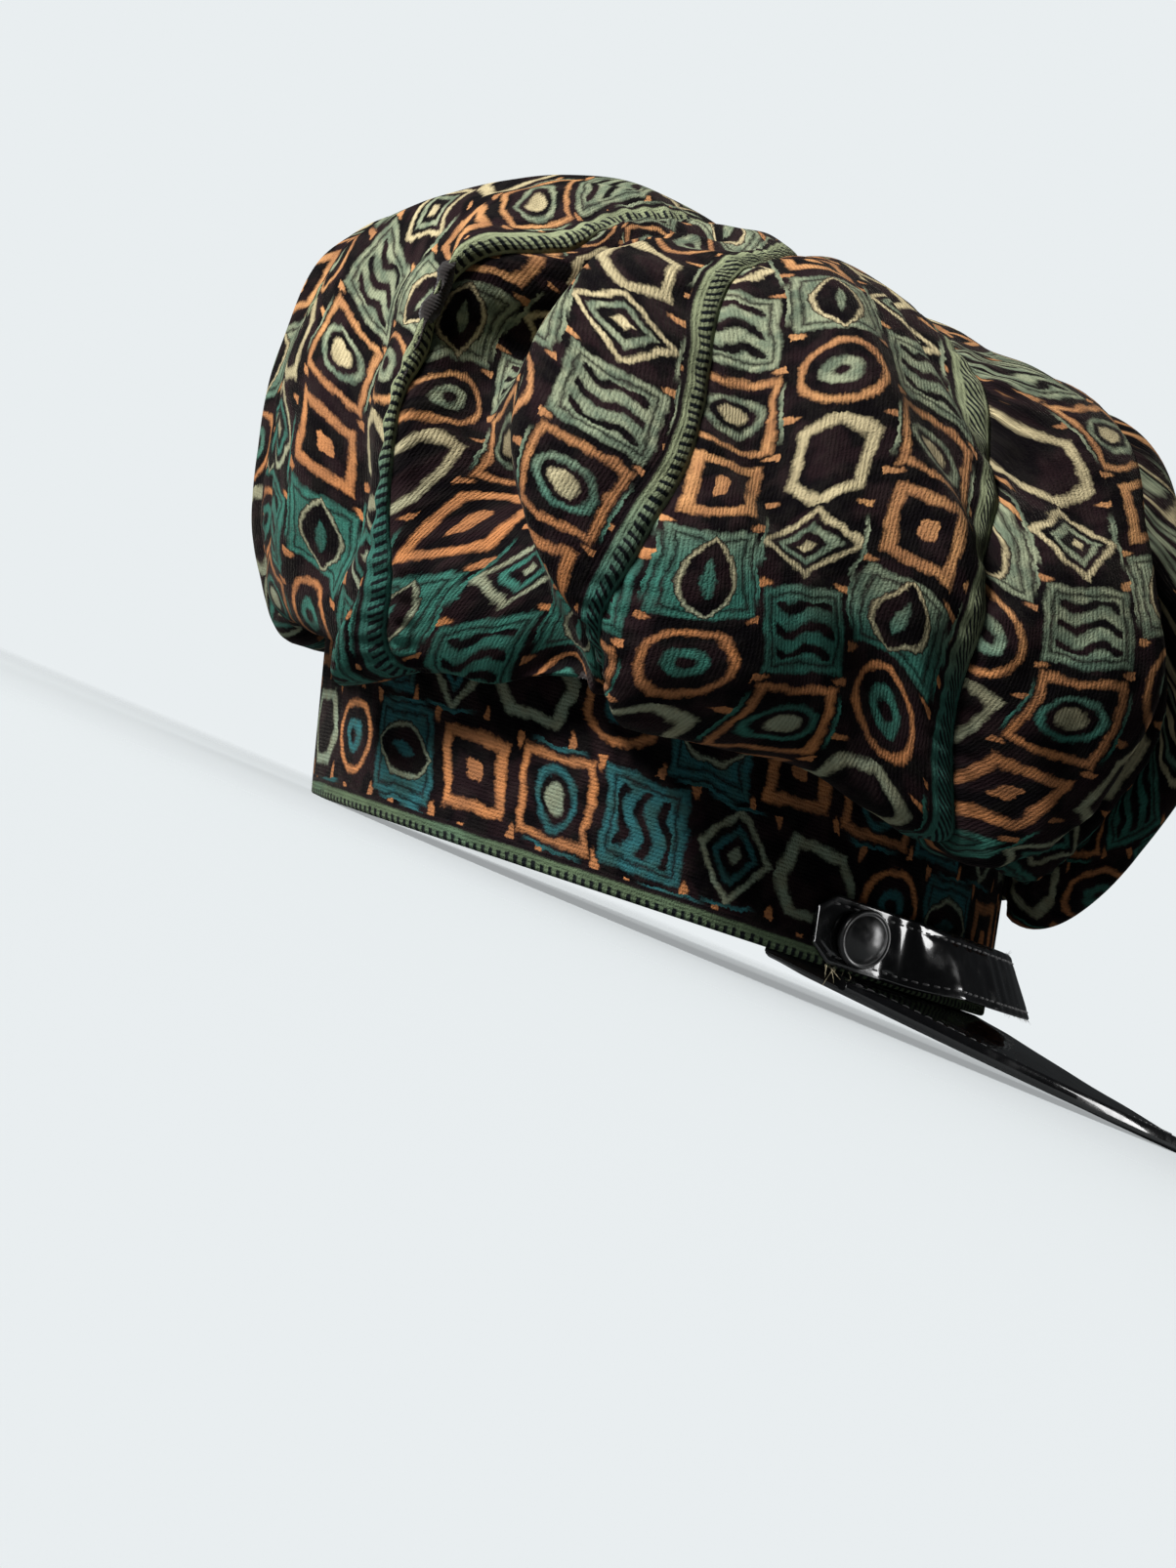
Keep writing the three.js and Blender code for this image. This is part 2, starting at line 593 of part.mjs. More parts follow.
// A domed button with a thin rim, turned about its own axis
function buttonGeometry() {
  const profile = [
    [0, 0], [0.72, 0], [0.92, 0.12], [1, 0.32], [1, 0.48], [0.90, 0.60], [0.82, 0.56],
    [0.66, 0.80], [0.36, 0.95], [0, 1],
  ].map(([out, up]) => new THREE.Vector2(out * BUTTON_RADIUS, up * BUTTON_HEIGHT));
  return new THREE.LatheGeometry(profile, BUTTON_SIDES);
}

// How the level cap lies on a table: turned about the back of its rim until the peak touches
const restBack = -HEAD_LENGTH / 2;
const restTilt = -Math.min(...peakLoops().flat().map((p) => Math.atan2(p.z, p.x - restBack)));
const tableUp = new THREE.Vector3(Math.sin(restTilt), 0, Math.cos(restTilt));

function heightAboveTable(point) {
  return (point.x - restBack) * tableUp.x + point.z * tableUp.z - SETTLE_DEPTH;
}

// What would reach below the table is pressed flat against it
function settled(loops) {
  return loops.map((loop) => loop.map((point) => {
    const below = Math.min(heightAboveTable(point), 0);
    return point.clone().addScaledVector(tableUp, -below);
  }));
}

// Materials
const velvet = { color: 0x3b4a45, roughness: 0.95, metalness: 0 };
const lining = { color: 0x17130f, roughness: 0.9, metalness: 0 };
const patent = { color: 0x0b0b0c, roughness: 0.14, metalness: 0 };

function meshOf(name, geometry, finish) {
  const mesh = new THREE.Mesh(geometry, new THREE.MeshStandardMaterial(finish));
  mesh.name = name;
  return mesh;
}

// The level cap
const level = new THREE.Group();
const grid = crownGrid();
SEAMS.forEach((_, k) => {
  level.add(meshOf(`crown_panel_${k + 1}`, crownPanel(grid, k), velvet));
});
level.add(meshOf('band', loft(settled(bandRing(0, BAND_HEIGHT, 0, CLOTH)), true), velvet));
const sweatband = bandRing(SWEATBAND_INSET, SWEATBAND_INSET + SWEATBAND_HEIGHT,
  CLOTH + SEAT_GAP, SWEATBAND_THICKNESS);
level.add(meshOf('sweatband', loft(sweatband, true), lining));
level.add(meshOf('peak', loft(settled(peakLoops()), false), patent));
level.add(meshOf('strap', loft(strapLoops(), false), patent));
for (const side of [-1, 1]) {
  const angle = side * BUTTON_ANGLE;
  const button = meshOf(side < 0 ? 'strap_button_right' : 'strap_button_left', buttonGeometry(), patent);
  button.position.copy(strapPoint(angle, STRAP_MIDDLE, STRAP_THICKNESS + SEAT_GAP, 0));
  button.quaternion.setFromUnitVectors(new THREE.Vector3(0, 1, 0), rimOutward(angle));
  level.add(button);
}

// Laid on the table, centred over the origin
level.rotation.y = -restTilt;
const cap = new THREE.Group();
cap.add(level);
cap.updateMatrixWorld(true);
const box = new THREE.Box3().setFromObject(level, true);
level.position.set(-(box.min.x + box.max.x) / 2, -(box.min.y + box.max.y) / 2, -box.min.z);

export default cap;
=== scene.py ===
# %% [markdown]
# A full eight-panel cap of printed velvet, with a deep band, a short patent peak and a buttoned
# strap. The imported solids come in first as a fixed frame. Everything below is built around them,
# in the same place and at the same size: metres, +Z up, +X out over the peak, +Y the wearer's left.

import json
import math
from functools import partialmethod

import bpy
import numpy as np
from mathutils import Matrix

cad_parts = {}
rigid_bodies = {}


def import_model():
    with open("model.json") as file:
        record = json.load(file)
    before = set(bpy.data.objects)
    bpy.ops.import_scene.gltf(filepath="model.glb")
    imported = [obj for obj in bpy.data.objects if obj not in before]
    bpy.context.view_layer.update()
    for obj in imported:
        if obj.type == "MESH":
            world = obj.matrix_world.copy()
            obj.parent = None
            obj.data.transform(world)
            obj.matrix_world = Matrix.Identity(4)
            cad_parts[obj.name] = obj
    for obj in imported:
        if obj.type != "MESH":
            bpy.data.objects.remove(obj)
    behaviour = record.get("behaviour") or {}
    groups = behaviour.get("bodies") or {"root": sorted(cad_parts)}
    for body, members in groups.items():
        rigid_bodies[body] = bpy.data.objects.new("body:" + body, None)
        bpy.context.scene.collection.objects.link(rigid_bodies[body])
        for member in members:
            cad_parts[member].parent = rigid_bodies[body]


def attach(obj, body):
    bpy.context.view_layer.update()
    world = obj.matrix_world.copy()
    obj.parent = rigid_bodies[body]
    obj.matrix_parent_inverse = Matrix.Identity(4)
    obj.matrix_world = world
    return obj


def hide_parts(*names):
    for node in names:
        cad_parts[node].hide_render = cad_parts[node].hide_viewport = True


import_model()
bpy.context.view_layer.update()

# %% [markdown]
# Helpers for surfaces. A piece of cloth is easiest to think of as a grid: two numbers say where a
# point lies on the cloth, and a formula says where it is in space. Blender could also sculpt or
# simulate such a piece, but a formula can be repeated exactly, and it gives each point its place
# on the flat cloth, which the print needs later.

# %% Helpers for surfaces
MM = 0.001
TURN = 2 * math.pi


def angles_round(count):
    """Even steps round a whole turn, as a column of angles."""
    return np.linspace(0, TURN, count, endpoint=False)[:, None]


def clamp(value, low, high):
    return np.minimum(np.maximum(value, low), high)


def smooth(share):
    """0 up to share 0, 1 from share 1, and an even S between them."""
    x = clamp(share, 0, 1)
    return x * x * (3 - 2 * x)


def bump(distance, width):
    """A round hump: 1 at no distance, fading to nothing at about two widths."""
    return np.exp(-(distance / width) ** 2)


def unit(vectors):
    return vectors / np.maximum(np.linalg.norm(vectors, axis=-1, keepdims=True), 1e-9)


def normals_of(grid):
    """The direction across the cloth at each point: the cross product of the two ways along it."""
    return unit(np.cross(np.gradient(grid, axis=0), np.gradient(grid, axis=1)))


def lengths_along(grid, axis):
    """How far each point is along the cloth from the grid's first edge, in mm."""
    steps = np.linalg.norm(np.diff(grid, axis=axis), axis=-1)
    pad = [(0, 0), (0, 0)]
    pad[axis] = (1, 0)
    return np.pad(np.cumsum(steps, axis=axis), pad)


def way_along(line):
    """How far each point of a line is from its first one, in mm."""
    return lengths_along(line[:, None], 0)[:, 0]


def carried(surface, way, section):
    """A surface's points for each way along it and each (across, depth) pair of a section."""
    return surface(*np.broadcast_arrays(way, *section.T))


def quads(columns, rows, columns_join=False, rows_join=False):
    """The faces of a grid of points, four corners each, in the order that faces outward. The last
    column may join the first, and so may the rows."""
    at = np.arange(columns * rows).reshape(columns, rows)
    if rows_join:
        at = np.concatenate([at, at[:, :1]], axis=1)
    if columns_join:
        at = np.concatenate([at, at[:1]])
    return np.stack([at[:-1, :-1], at[1:, :-1], at[1:, 1:], at[:-1, 1:]], axis=-1).reshape(-1, 4)


def ripple(x, y, waves, shortest, longest, seed):
    """Uneven waviness from -1 to 1: a sum of sine waves with random directions and lengths."""
    draw = np.random.default_rng(seed)
    total = np.zeros(np.broadcast(x, y).shape)
    for _ in range(waves):
        way, start = draw.uniform(0, TURN, 2)
        length = draw.uniform(shortest, longest)
        total += np.sin(TURN * (x * math.cos(way) + y * math.sin(way)) / length + start)
    return total / math.sqrt(waves) / 1.6


def new_piece(name, points, faces, materials, inside=None, cloth=None, flat_ends=0):
    """Puts points in mm and lists of faces into a mesh. inside says which material each face has.
    cloth gives each point its place on the flat cloth in mm, kept as the UV map that the print
    reads. The last faces, flat_ends of them, are shaded flat."""
    mesh = bpy.data.meshes.new(name)
    mesh.from_pydata((points * MM).tolist(), [], faces)
    for material in materials:
        mesh.materials.append(material)
    if inside is not None:
        mesh.polygons.foreach_set("material_index", inside.astype(np.int32))
    if cloth is not None:
        corner = np.empty(len(mesh.loops), np.int32)
        mesh.loops.foreach_get("vertex_index", corner)
        flat = mesh.uv_layers.new(name="cloth_mm")
        flat.data.foreach_set("uv", cloth[corner].astype(np.float32).ravel())
    rounded = len(faces) - flat_ends
    mesh.polygons.foreach_set("use_smooth", [True] * rounded + [False] * flat_ends)
    mesh.validate()
    mesh.update()
    piece = bpy.data.objects.new(name, mesh)
    bpy.context.scene.collection.objects.link(piece)
    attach(piece, "root")
    print(f"{name}: {len(mesh.polygons)} faces")
    return piece


# %% [markdown]
# The cap isn't modelled as it lies. It is worked out level, in millimetres from the middle of its
# rim, and each finished grid is then laid on the table: tipped forward by a few degrees, moved, and
# pressed flat where it would dip below the table's top. Working level keeps the formulas simple.

# %% Lay level points on the table
REST_TILT = math.radians(4.2175)
REST_MOVE = np.array([-5.712, -4.673, 6.660])


def on_table(points):
    """Turns level points about Y by the tilt, moves them, and lifts what is below the table."""
    x, y, z = np.moveaxis(np.asarray(points, float), -1, 0)
    tilted = np.stack([
        x * math.cos(REST_TILT) - z * math.sin(REST_TILT),
        y,
        x * math.sin(REST_TILT) + z * math.cos(REST_TILT),
    ], axis=-1) + REST_MOVE
    tilted[..., 2] = np.maximum(tilted[..., 2], 0)
    return tilted


# %% [markdown]
# The band's outline is an ellipse. It leans back a little and widens a little towards its top, as
# the stiffened band of a full cap does. Most other pieces follow it.

# %% The band's outline
HEAD_LENGTH = 192
HEAD_WIDTH = 174
BAND_HEIGHT = 56
BAND_RAKE = 11
BAND_FLARE = 2
CLOTH = 2
SEAT_GAP = 0.3


def band_radius(angle, grow):
    """The ellipse's radius at an angle, with both half axes larger by grow."""
    a = HEAD_LENGTH / 2 + grow
    b = HEAD_WIDTH / 2 + grow
    return a * b / np.hypot(b * np.cos(angle), a * np.sin(angle))


def rake_at(z):
    return -BAND_RAKE * z / BAND_HEIGHT


def band_point(angle, z, outward):
    """The point of the band at an angle and a height, moved outward by so much."""
    radius = band_radius(angle, BAND_FLARE * z / BAND_HEIGHT + outward)
    return np.stack(np.broadcast_arrays(
        rake_at(z) + radius * np.cos(angle), radius * np.sin(angle), z * 1.0), axis=-1)


# %% [markdown]
# The crown's form. Seven stations go from the band's top edge, down round the pouch that hangs over
# the band, out to the belly, up to the shoulder and in to the top. Their radii and heights change
# round the cap, as a small table says for eight directions. A smooth curve joins the stations, and
# another the eight directions. Sculpting could do this too, but here each number has a meaning.

# %% The crown's smooth form
CROWN_RISE = 122
CROWN_BLOUSE = 48
CROWN_DROOP = 32
TOP_SET_BACK = 5
CROWN_SEAT = BAND_HEIGHT + SEAT_GAP
POUCH_BOTTOM_OUT = 0.32
POUCH_SIDE_OUT = 0.78
POUCH_SIDE_UP = 0.34
TOP_RING = 0.62
SET_BACK_START = 0.6
PROFILE_STEPS = 6
PROFILE_KEYS = ("spread", "droop", "belly", "shoulder", "top", "shoulder_out")
PROFILE = np.array([
    [0.66, 0.66, 0.31, 0.79, 0.90, 1.00],
    [1.00, 0.81, 0.30, 0.80, 0.94, 1.09],
    [0.79, 0.69, 0.30, 0.77, 0.95, 1.10],
    [0.56, 0.54, 0.36, 0.82, 0.99, 1.14],
    [0.64, 0.36, 0.48, 0.79, 1.04, 1.20],
    [0.58, 0.57, 0.36, 0.77, 0.96, 1.00],
    [0.71, 0.28, 0.31, 0.76, 0.94, 1.08],
    [0.65, 0.53, 0.30, 0.72, 0.90, 1.00],
])


def through(p0, p1, p2, p3, t):
    """A Catmull-Rom curve from p1 to p2: it leaves and arrives in line with the points beyond."""
    slope = p2 - p0
    bend = 2 * p0 - 5 * p1 + 4 * p2 - p3
    twist = 3 * p1 - p0 - 3 * p2 + p3
    return 0.5 * (2 * p1 + slope * t + bend * t ** 2 + twist * t ** 3)


def stations_at(angle):
    """The seven stations' radii and heights at each angle, from the table's rows on both sides."""
    x = np.mod(angle / TURN, 1) * len(PROFILE)
    i = np.floor(x).astype(int)
    rows = [PROFILE[(i + k) % len(PROFILE)] for k in (-1, 0, 1, 2)]
    value = dict(zip(PROFILE_KEYS, np.moveaxis(through(*rows, (x - i)[..., None]), -1, 0)))
    seat = band_radius(angle, BAND_FLARE) + SEAT_GAP
    over = value["spread"] * CROWN_BLOUSE
    pouch = BAND_HEIGHT - value["droop"] * CROWN_DROOP
    belly, shoulder, top = (
        BAND_HEIGHT + value[name] * CROWN_RISE for name in ("belly", "shoulder", "top"))
    radii = [seat, seat + POUCH_BOTTOM_OUT * over, seat + POUCH_SIDE_OUT * over, seat + over,
             seat * value["shoulder_out"], seat * TOP_RING, 0 * seat]
    heights = [CROWN_SEAT + 0 * seat, pouch, pouch + POUCH_SIDE_UP * (belly - pouch), belly,
               shoulder, top, BAND_HEIGHT + CROWN_RISE + 0 * seat]
    return radii, heights


def along_stations(stations, x):
    """The smooth curve through the seven stations, at x steps from the first."""
    ends = [2 * stations[0] - stations[1], *stations, 2 * stations[-1] - stations[-2]]
    table = np.stack(ends, axis=-1)
    i = np.minimum(np.floor(x), PROFILE_STEPS - 1).astype(int)
    points = [np.take_along_axis(table, (i + k)[..., None], axis=-1)[..., 0] for k in range(4)]
    return through(*points, x - i)


def smooth_crown(angle, s):
    """The crown before it is folded, at an angle and a share s of the way up."""
    radii, heights = stations_at(angle)
    share = clamp(s, 0, 1)
    radius = along_stations(radii, share * PROFILE_STEPS)
    height = along_stations(heights, share * PROFILE_STEPS)
    back = clamp((share - SET_BACK_START) / (1 - SET_BACK_START), 0, 1) ** 2
    shift = -BAND_RAKE - TOP_SET_BACK * back
    return np.stack([shift + radius * np.cos(angle), radius * np.sin(angle), height], axis=-1)


# %% [markdown]
# The folds and the seams. A soft, full crown falls into deep folds. Each one is a ridge or a dent
# that follows a route over the crown: it lifts the smooth form outward and leans it sideways, so
# that a crest can hang over its valley. A seam pulls the cloth in, and the cloth beside it puffs.
# A cloth simulation would find folds of its own, but not the ones this cap has.

# %% The folds and the seams
FOLD_DEPTH = 25
FOLD_WIDTH = 46
FOLD_LEAN = 17
SEAM_PINCH = 3.5
SEAM_WIDTH = 8
SEAM_PUFF = 0.35
POUCH_TOP = 0.3
POUCH_DENT = 0.35
POUCH_GAP = 0.9
SMALLEST_ROUND = 30
# The seams' routes as pairs of share of the way up and angle in degrees: three seen, five behind
SEAMS = [
    [[0, 232], [0.24, 233], [0.33, 235], [0.44, 233], [0.53, 229], [0.60, 225], [0.68, 225],
     [1, 228]],
    [[0, 264], [0.28, 266], [0.40, 263.5], [0.46, 262], [0.55, 261], [0.60, 260], [0.68, 259],
     [1, 270]],
    [[0, 300], [0.34, 300], [0.46, 297], [0.51, 296.5], [0.61, 298], [0.68, 297.5], [1, 308]],
    *([[0, degrees], [1, degrees]] for degrees in (343, 392, 441, 490, 540)),
]
# Each fold: how far it stands out or is sunk, in FOLD_DEPTH, its width before and after its crest,
# in FOLD_WIDTH, its lean, in FOLD_LEAN, how sharp it is, and its route like a seam's
FOLDS = [
    (0.40, 0.30, 0.56, -0.76, 1.6,
     [[0.12, 214], [0.22, 221], [0.36, 227], [0.52, 223], [0.66, 213]]),
    (-0.32, 0.44, 0.30, 0, 1, [[0.27, 211], [0.34, 215], [0.52, 211], [0.62, 203]]),
    (-0.96, 0.28, 0.28, 0, 1.2,
     [[0.38, 240], [0.48, 236], [0.55, 231.5], [0.61, 230], [0.68, 231], [0.80, 238]]),
    (0.24, 0.30, 0.26, 0.35, 1, [[0.54, 222], [0.60, 226], [0.68, 232], [0.80, 240]]),
    (0.60, 0.26, 1.00, -1.00, 1.5,
     [[0.16, 263], [0.22, 261], [0.33, 256], [0.44, 247], [0.52, 242], [0.60, 240], [0.70, 243]]),
    (-0.40, 0.44, 0.22, 0, 1, [[0.12, 254], [0.28, 250], [0.38, 244], [0.46, 239]]),
    (-0.24, 0.44, 0.30, 0, 1, [[0.60, 252], [0.70, 250], [0.80, 248]]),
    (-0.32, 0.35, 0.44, 0, 1, [[0.34, 290], [0.46, 281], [0.54, 268], [0.64, 260]]),
    (0.20, 0.40, 0.30, 0, 1, [[0.44, 300], [0.54, 291], [0.60, 280], [0.72, 268]]),
    (-0.24, 0.26, 0.26, 0, 1, [[0.56, 306], [0.62, 298], [0.70, 290], [0.80, 284]]),
    (0.60, 1.00, 0.28, 0.82, 1.5,
     [[0.18, 306], [0.32, 317], [0.44, 318], [0.56, 317], [0.72, 318]]),
    (-0.80, 0.30, 0.40, 0, 1, [[0.23, 327], [0.40, 330], [0.56, 330], [0.72, 332]]),
    (0.36, 0.56, 0.74, -0.47, 1.2, [[0.10, 349], [0.30, 347], [0.54, 347], [0.74, 348]]),
    (-0.44, 0.40, 0.35, 0, 1.1, [[0.24, 374], [0.34, 377], [0.50, 380], [0.72, 378]]),
    (0.40, 0.30, 0.65, -0.70, 1.4, [[0.12, 388], [0.30, 394], [0.50, 398], [0.70, 396]]),
    (-0.36, 0.40, 0.40, 0, 1, [[0.14, 412], [0.34, 416], [0.52, 424], [0.74, 428]]),
    (0.36, 0.65, 0.30, 0.70, 1.4, [[0.10, 436], [0.30, 434], [0.50, 438], [0.70, 444]]),
    (-0.48, 0.30, 0.40, 0, 1.1, [[0.24, 452], [0.36, 452], [0.52, 456], [0.74, 462]]),
    (-0.28, 0.30, 0.26, 0, 1, [[0.18, 466], [0.36, 468], [0.54, 466], [0.70, 464]]),
    (0.40, 0.30, 0.65, -0.70, 1.4, [[0.12, 476], [0.30, 480], [0.50, 478], [0.70, 474]]),
    (-0.36, 0.35, 0.35, 0, 1.1, [[0.26, 507], [0.36, 504], [0.52, 508], [0.72, 514]]),
    (0.20, 0.56, 0.35, 0.53, 1.3, [[0.10, 524], [0.28, 528], [0.50, 532], [0.70, 530]]),
    (-0.20, 0.40, 0.40, 0, 1, [[0.26, 549], [0.36, 550], [0.54, 546], [0.72, 544]]),
]


def route_angle(route, s):
    """A smooth curve through a route's points, straight beyond both its ends, in degrees."""
    at, degrees = np.array(route, float).T
    slope = np.gradient(degrees, at)
    k = clamp(np.searchsorted(at, s, side="right") - 1, 0, len(at) - 2)
    span = at[k + 1] - at[k]
    t = (s - at[k]) / span
    leave = (t ** 3 - 2 * t ** 2 + t) * span * slope[k]
    arrive = (t ** 3 - t ** 2) * span * slope[k + 1]
    curve = degrees[k] + smooth(t) * (degrees[k + 1] - degrees[k]) + leave + arrive
    before = degrees[0] + (s - at[0]) * slope[0]
    beyond = degrees[-1] + (s - at[-1]) * slope[-1]
    return np.where(s <= at[0], before, np.where(s >= at[-1], beyond, curve))


def turn_between(degrees, centre):
    return np.mod(degrees - centre + 180, 360) - 180


def folded_crown(angle, s):
    """The crown with its folds: smooth form, plus for each fold a hump across its route that moves
    the cloth outward and sideways, less a dip along each seam."""
    point = smooth_crown(angle, s)
    step = 0.001
    round_way = smooth_crown(angle + step, s) - smooth_crown(angle - step, s)
    up_way = smooth_crown(angle, s + step) - smooth_crown(angle, s - step)
    out = unit(np.cross(round_way, up_way))
    round_way = unit(round_way)
    radius = np.hypot(point[..., 0] + BAND_RAKE + TOP_SET_BACK, point[..., 1])
    degrees = np.degrees(angle)
    rise = np.zeros_like(s)
    lean = np.zeros_like(s)
    for height, before, after, slant, edge, route in FOLDS:
        present = smooth((s - route[0][0] + 0.06) / 0.14) * smooth((route[-1][0] + 0.08 - s) / 0.18)
        reach = slant * FOLD_LEAN
        drift = np.degrees(reach * present / np.maximum(radius, SMALLEST_ROUND))
        away = np.radians(turn_between(degrees, route_angle(route, s) - drift)) * radius
        width = np.where(away < 0, before, after) * FOLD_WIDTH
        both = 0.5 * (before + after) * FOLD_WIDTH
        share = POUCH_DENT + (1 - POUCH_DENT) * smooth(s / POUCH_TOP) if height < 0 else 1
        rise += height * FOLD_DEPTH * present * share * (1 - smooth(np.abs(away) / width)) ** edge
        lean += reach * present * (1 - smooth(np.abs(away) / both))
    seam_away = np.min([np.abs(np.radians(turn_between(degrees, route_angle(seam, s))) * radius)
                        for seam in SEAMS], axis=0)
    fade = smooth(s / POUCH_TOP) * clamp(radius / (TOP_RING * HEAD_LENGTH / 2), 0, 1)
    rise += SEAM_PINCH * fade * (SEAM_PUFF - bump(seam_away, SEAM_WIDTH))
    return clear_of_band(point + out * rise[..., None] + round_way * lean[..., None])


def clear_of_band(point):
    """Cloth that hangs beside the band stays just outside it."""
    x, y, z = np.moveaxis(point, -1, 0)
    angle = np.arctan2(y, x - rake_at(z))
    radius = np.hypot(x - rake_at(z), y)
    held = np.maximum(radius, band_radius(angle, BAND_FLARE) + POUCH_GAP)
    radius = np.where(z < CROWN_SEAT, held, radius)
    return np.stack([rake_at(z) + radius * np.cos(angle), radius * np.sin(angle), z], axis=-1)


# %% [markdown]
# Colours and node arithmetic. The print is a formula too: distances and angles on the flat cloth
# decide where each colour goes. Shader nodes can work such a formula out, one Math node for each
# step. Writing the nodes one by one would be long, so a small class gives them plus, minus, times
# and a few more, and the shader tree grows by itself while the formula is written.

# %% Node arithmetic
def paint(code):
    """A colour written as on a paint card, #rrggbb, turned into the linear values of a shader."""
    parts = [int(code[k:k + 2], 16) / 255 for k in (1, 3, 5)]
    linear = [c / 12.92 if c <= 0.04045 else ((c + 0.055) / 1.055) ** 2.4 for c in parts]
    return (*linear, 1.0)


class Field:
    """A value that differs over the surface: one output of a shader tree, with arithmetic."""

    def __init__(self, tree, socket):
        self.tree = tree
        self.socket = socket

    def calculate(self, operation, *others):
        node = self.tree.nodes.new("ShaderNodeMath")
        node.operation = operation
        for entry, value in zip(node.inputs, (self, *others)):
            feed(self.tree, entry, value)
        return Field(self.tree, node.outputs[0])

    __add__ = partialmethod(calculate, "ADD")
    __sub__ = partialmethod(calculate, "SUBTRACT")
    __mul__ = partialmethod(calculate, "MULTIPLY")
    __truediv__ = partialmethod(calculate, "DIVIDE")
    __abs__ = partialmethod(calculate, "ABSOLUTE")
    larger = partialmethod(calculate, "MAXIMUM")
    floor = partialmethod(calculate, "FLOOR")
    root = partialmethod(calculate, "SQRT")
    sine = partialmethod(calculate, "SINE")
    # Counts from 0 up to a length, again and again
    repeat = partialmethod(calculate, "FLOORED_MODULO")

    def square(self):
        return self * self

    def repeat_centred(self, length):
        """Counts from minus half a length to half a length, again and again."""
        return (self + length / 2).repeat(length) - length / 2

    def between(self, low, high, start=0.0, end=1.0):
        """Start up to low, end from high, and a smooth S between them."""
        node = self.tree.nodes.new("ShaderNodeMapRange")
        node.interpolation_type = "SMOOTHSTEP"
        for entry, value in zip(node.inputs, (self, low, high, start, end)):
            feed(self.tree, entry, value)
        return Field(self.tree, node.outputs["Result"])

    def inside(self, edge, soft=0.25):
        """1 where the number is below the edge and 0 above it, with a slightly soft border."""
        return self.between(edge - soft, edge + soft, 1.0, 0.0)

    def blend(self, first, second):
        """The first colour turning into the second as this share goes from 0 to 1: a Mix node."""
        node = self.tree.nodes.new("ShaderNodeMix")
        node.data_type = "RGBA"
        feed(self.tree, node.inputs["Factor"], self)
        feed(self.tree, node.inputs[6], first)
        feed(self.tree, node.inputs[7], second)
        return Field(self.tree, node.outputs[2])

    def cloud(self, size, detail=2.0, output="Fac"):
        """Soft random patches of about that size, in the units of this place."""
        node = self.tree.nodes.new("ShaderNodeTexNoise")
        feed(self.tree, node.inputs["Vector"], self)
        node.inputs["Scale"].default_value = 1 / size
        node.inputs["Detail"].default_value = detail
        return Field(self.tree, node.outputs[output])

    def split(self):
        node = self.tree.nodes.new("ShaderNodeSeparateXYZ")
        feed(self.tree, node.inputs[0], self)
        return [Field(self.tree, out) for out in node.outputs]


def feed(tree, entry, value):
    """Gives a socket its value: a Field by a link, a number or a colour directly."""
    if isinstance(value, Field):
        tree.links.new(value.socket, entry)
    else:
        entry.default_value = paint(value) if isinstance(value, str) else value


def joined(x, y):
    node = x.tree.nodes.new("ShaderNodeCombineXYZ")
    feed(x.tree, node.inputs[0], x)
    feed(x.tree, node.inputs[1], y)
    return Field(x.tree, node.outputs[0])


def object_place(tree):
    """The point on the object in millimetres."""
    place = tree.nodes.new("ShaderNodeTexCoord")
    larger = tree.nodes.new("ShaderNodeVectorMath")
    larger.operation = "SCALE"
    larger.inputs["Scale"].default_value = 1 / MM
    tree.links.new(place.outputs["Object"], larger.inputs[0])
    return Field(tree, larger.outputs[0])


def cloth_place(tree):
    """The point on the flat cloth in millimetres, from the piece's UV map."""
    node = tree.nodes.new("ShaderNodeUVMap")
    node.uv_map = "cloth_mm"
    return Field(tree, node.outputs[0])


def cloth_tone(tree):
    """The tone that each point of the mesh carries as an attribute."""
    node = tree.nodes.new("ShaderNodeAttribute")
    node.attribute_name = "tone"
    return Field(tree, node.outputs["Fac"])


def new_material(name, **settings):
    """A material with one Principled BSDF. Its fixed values go straight into its sockets."""
    material = bpy.data.materials.new(name)
    material.use_nodes = True
    tree = material.node_tree
    shader = tree.nodes["Principled BSDF"]
    for key, value in settings.items():
        feed(tree, shader.inputs[key.replace("_", " ")], value)
    return material, tree, shader


def relief(tree, shader, *layers):
    """Adds fine relief: each layer is a height Field from 0 to 1 and its depth in mm."""
    last = None
    for height, depth in layers:
        node = tree.nodes.new("ShaderNodeBump")
        node.inputs["Distance"].default_value = depth * MM
        feed(tree, node.inputs["Height"], height)
        if last is not None:
            feed(tree, node.inputs["Normal"], last)
        last = Field(tree, node.outputs["Normal"])
    feed(tree, shader.inputs["Normal"], last)


# %% [markdown]
# The print. The velvet is printed with rows of hand-drawn tiles: bullseyes, leaves, clovers, ovals,
# waves, lozenges and frames, in teal, sage, cream and orange on a dark aubergine ground, with a
# ribbed stripe along one side of each panel. An image texture would be the usual way. Here every
# tile is drawn by a distance: how far a point is from the middle of a ring, or from the edge of a
# cross, picks one of four inks. A little noise makes the lines wobble as if drawn by hand.

# %% The print's inks and tiles
GROUND, MAIN, ACCENT, CREAM = (0, 0, 0, 1), (1, 0, 0, 1), (0, 1, 0, 1), (0, 0, 1, 1)
TILE_WIDE = 26.0
TILE_HIGH = 23.0
TILE_KINDS = 7.0
STRIPE_WIDE = 7.0
LEVELS = 14.0


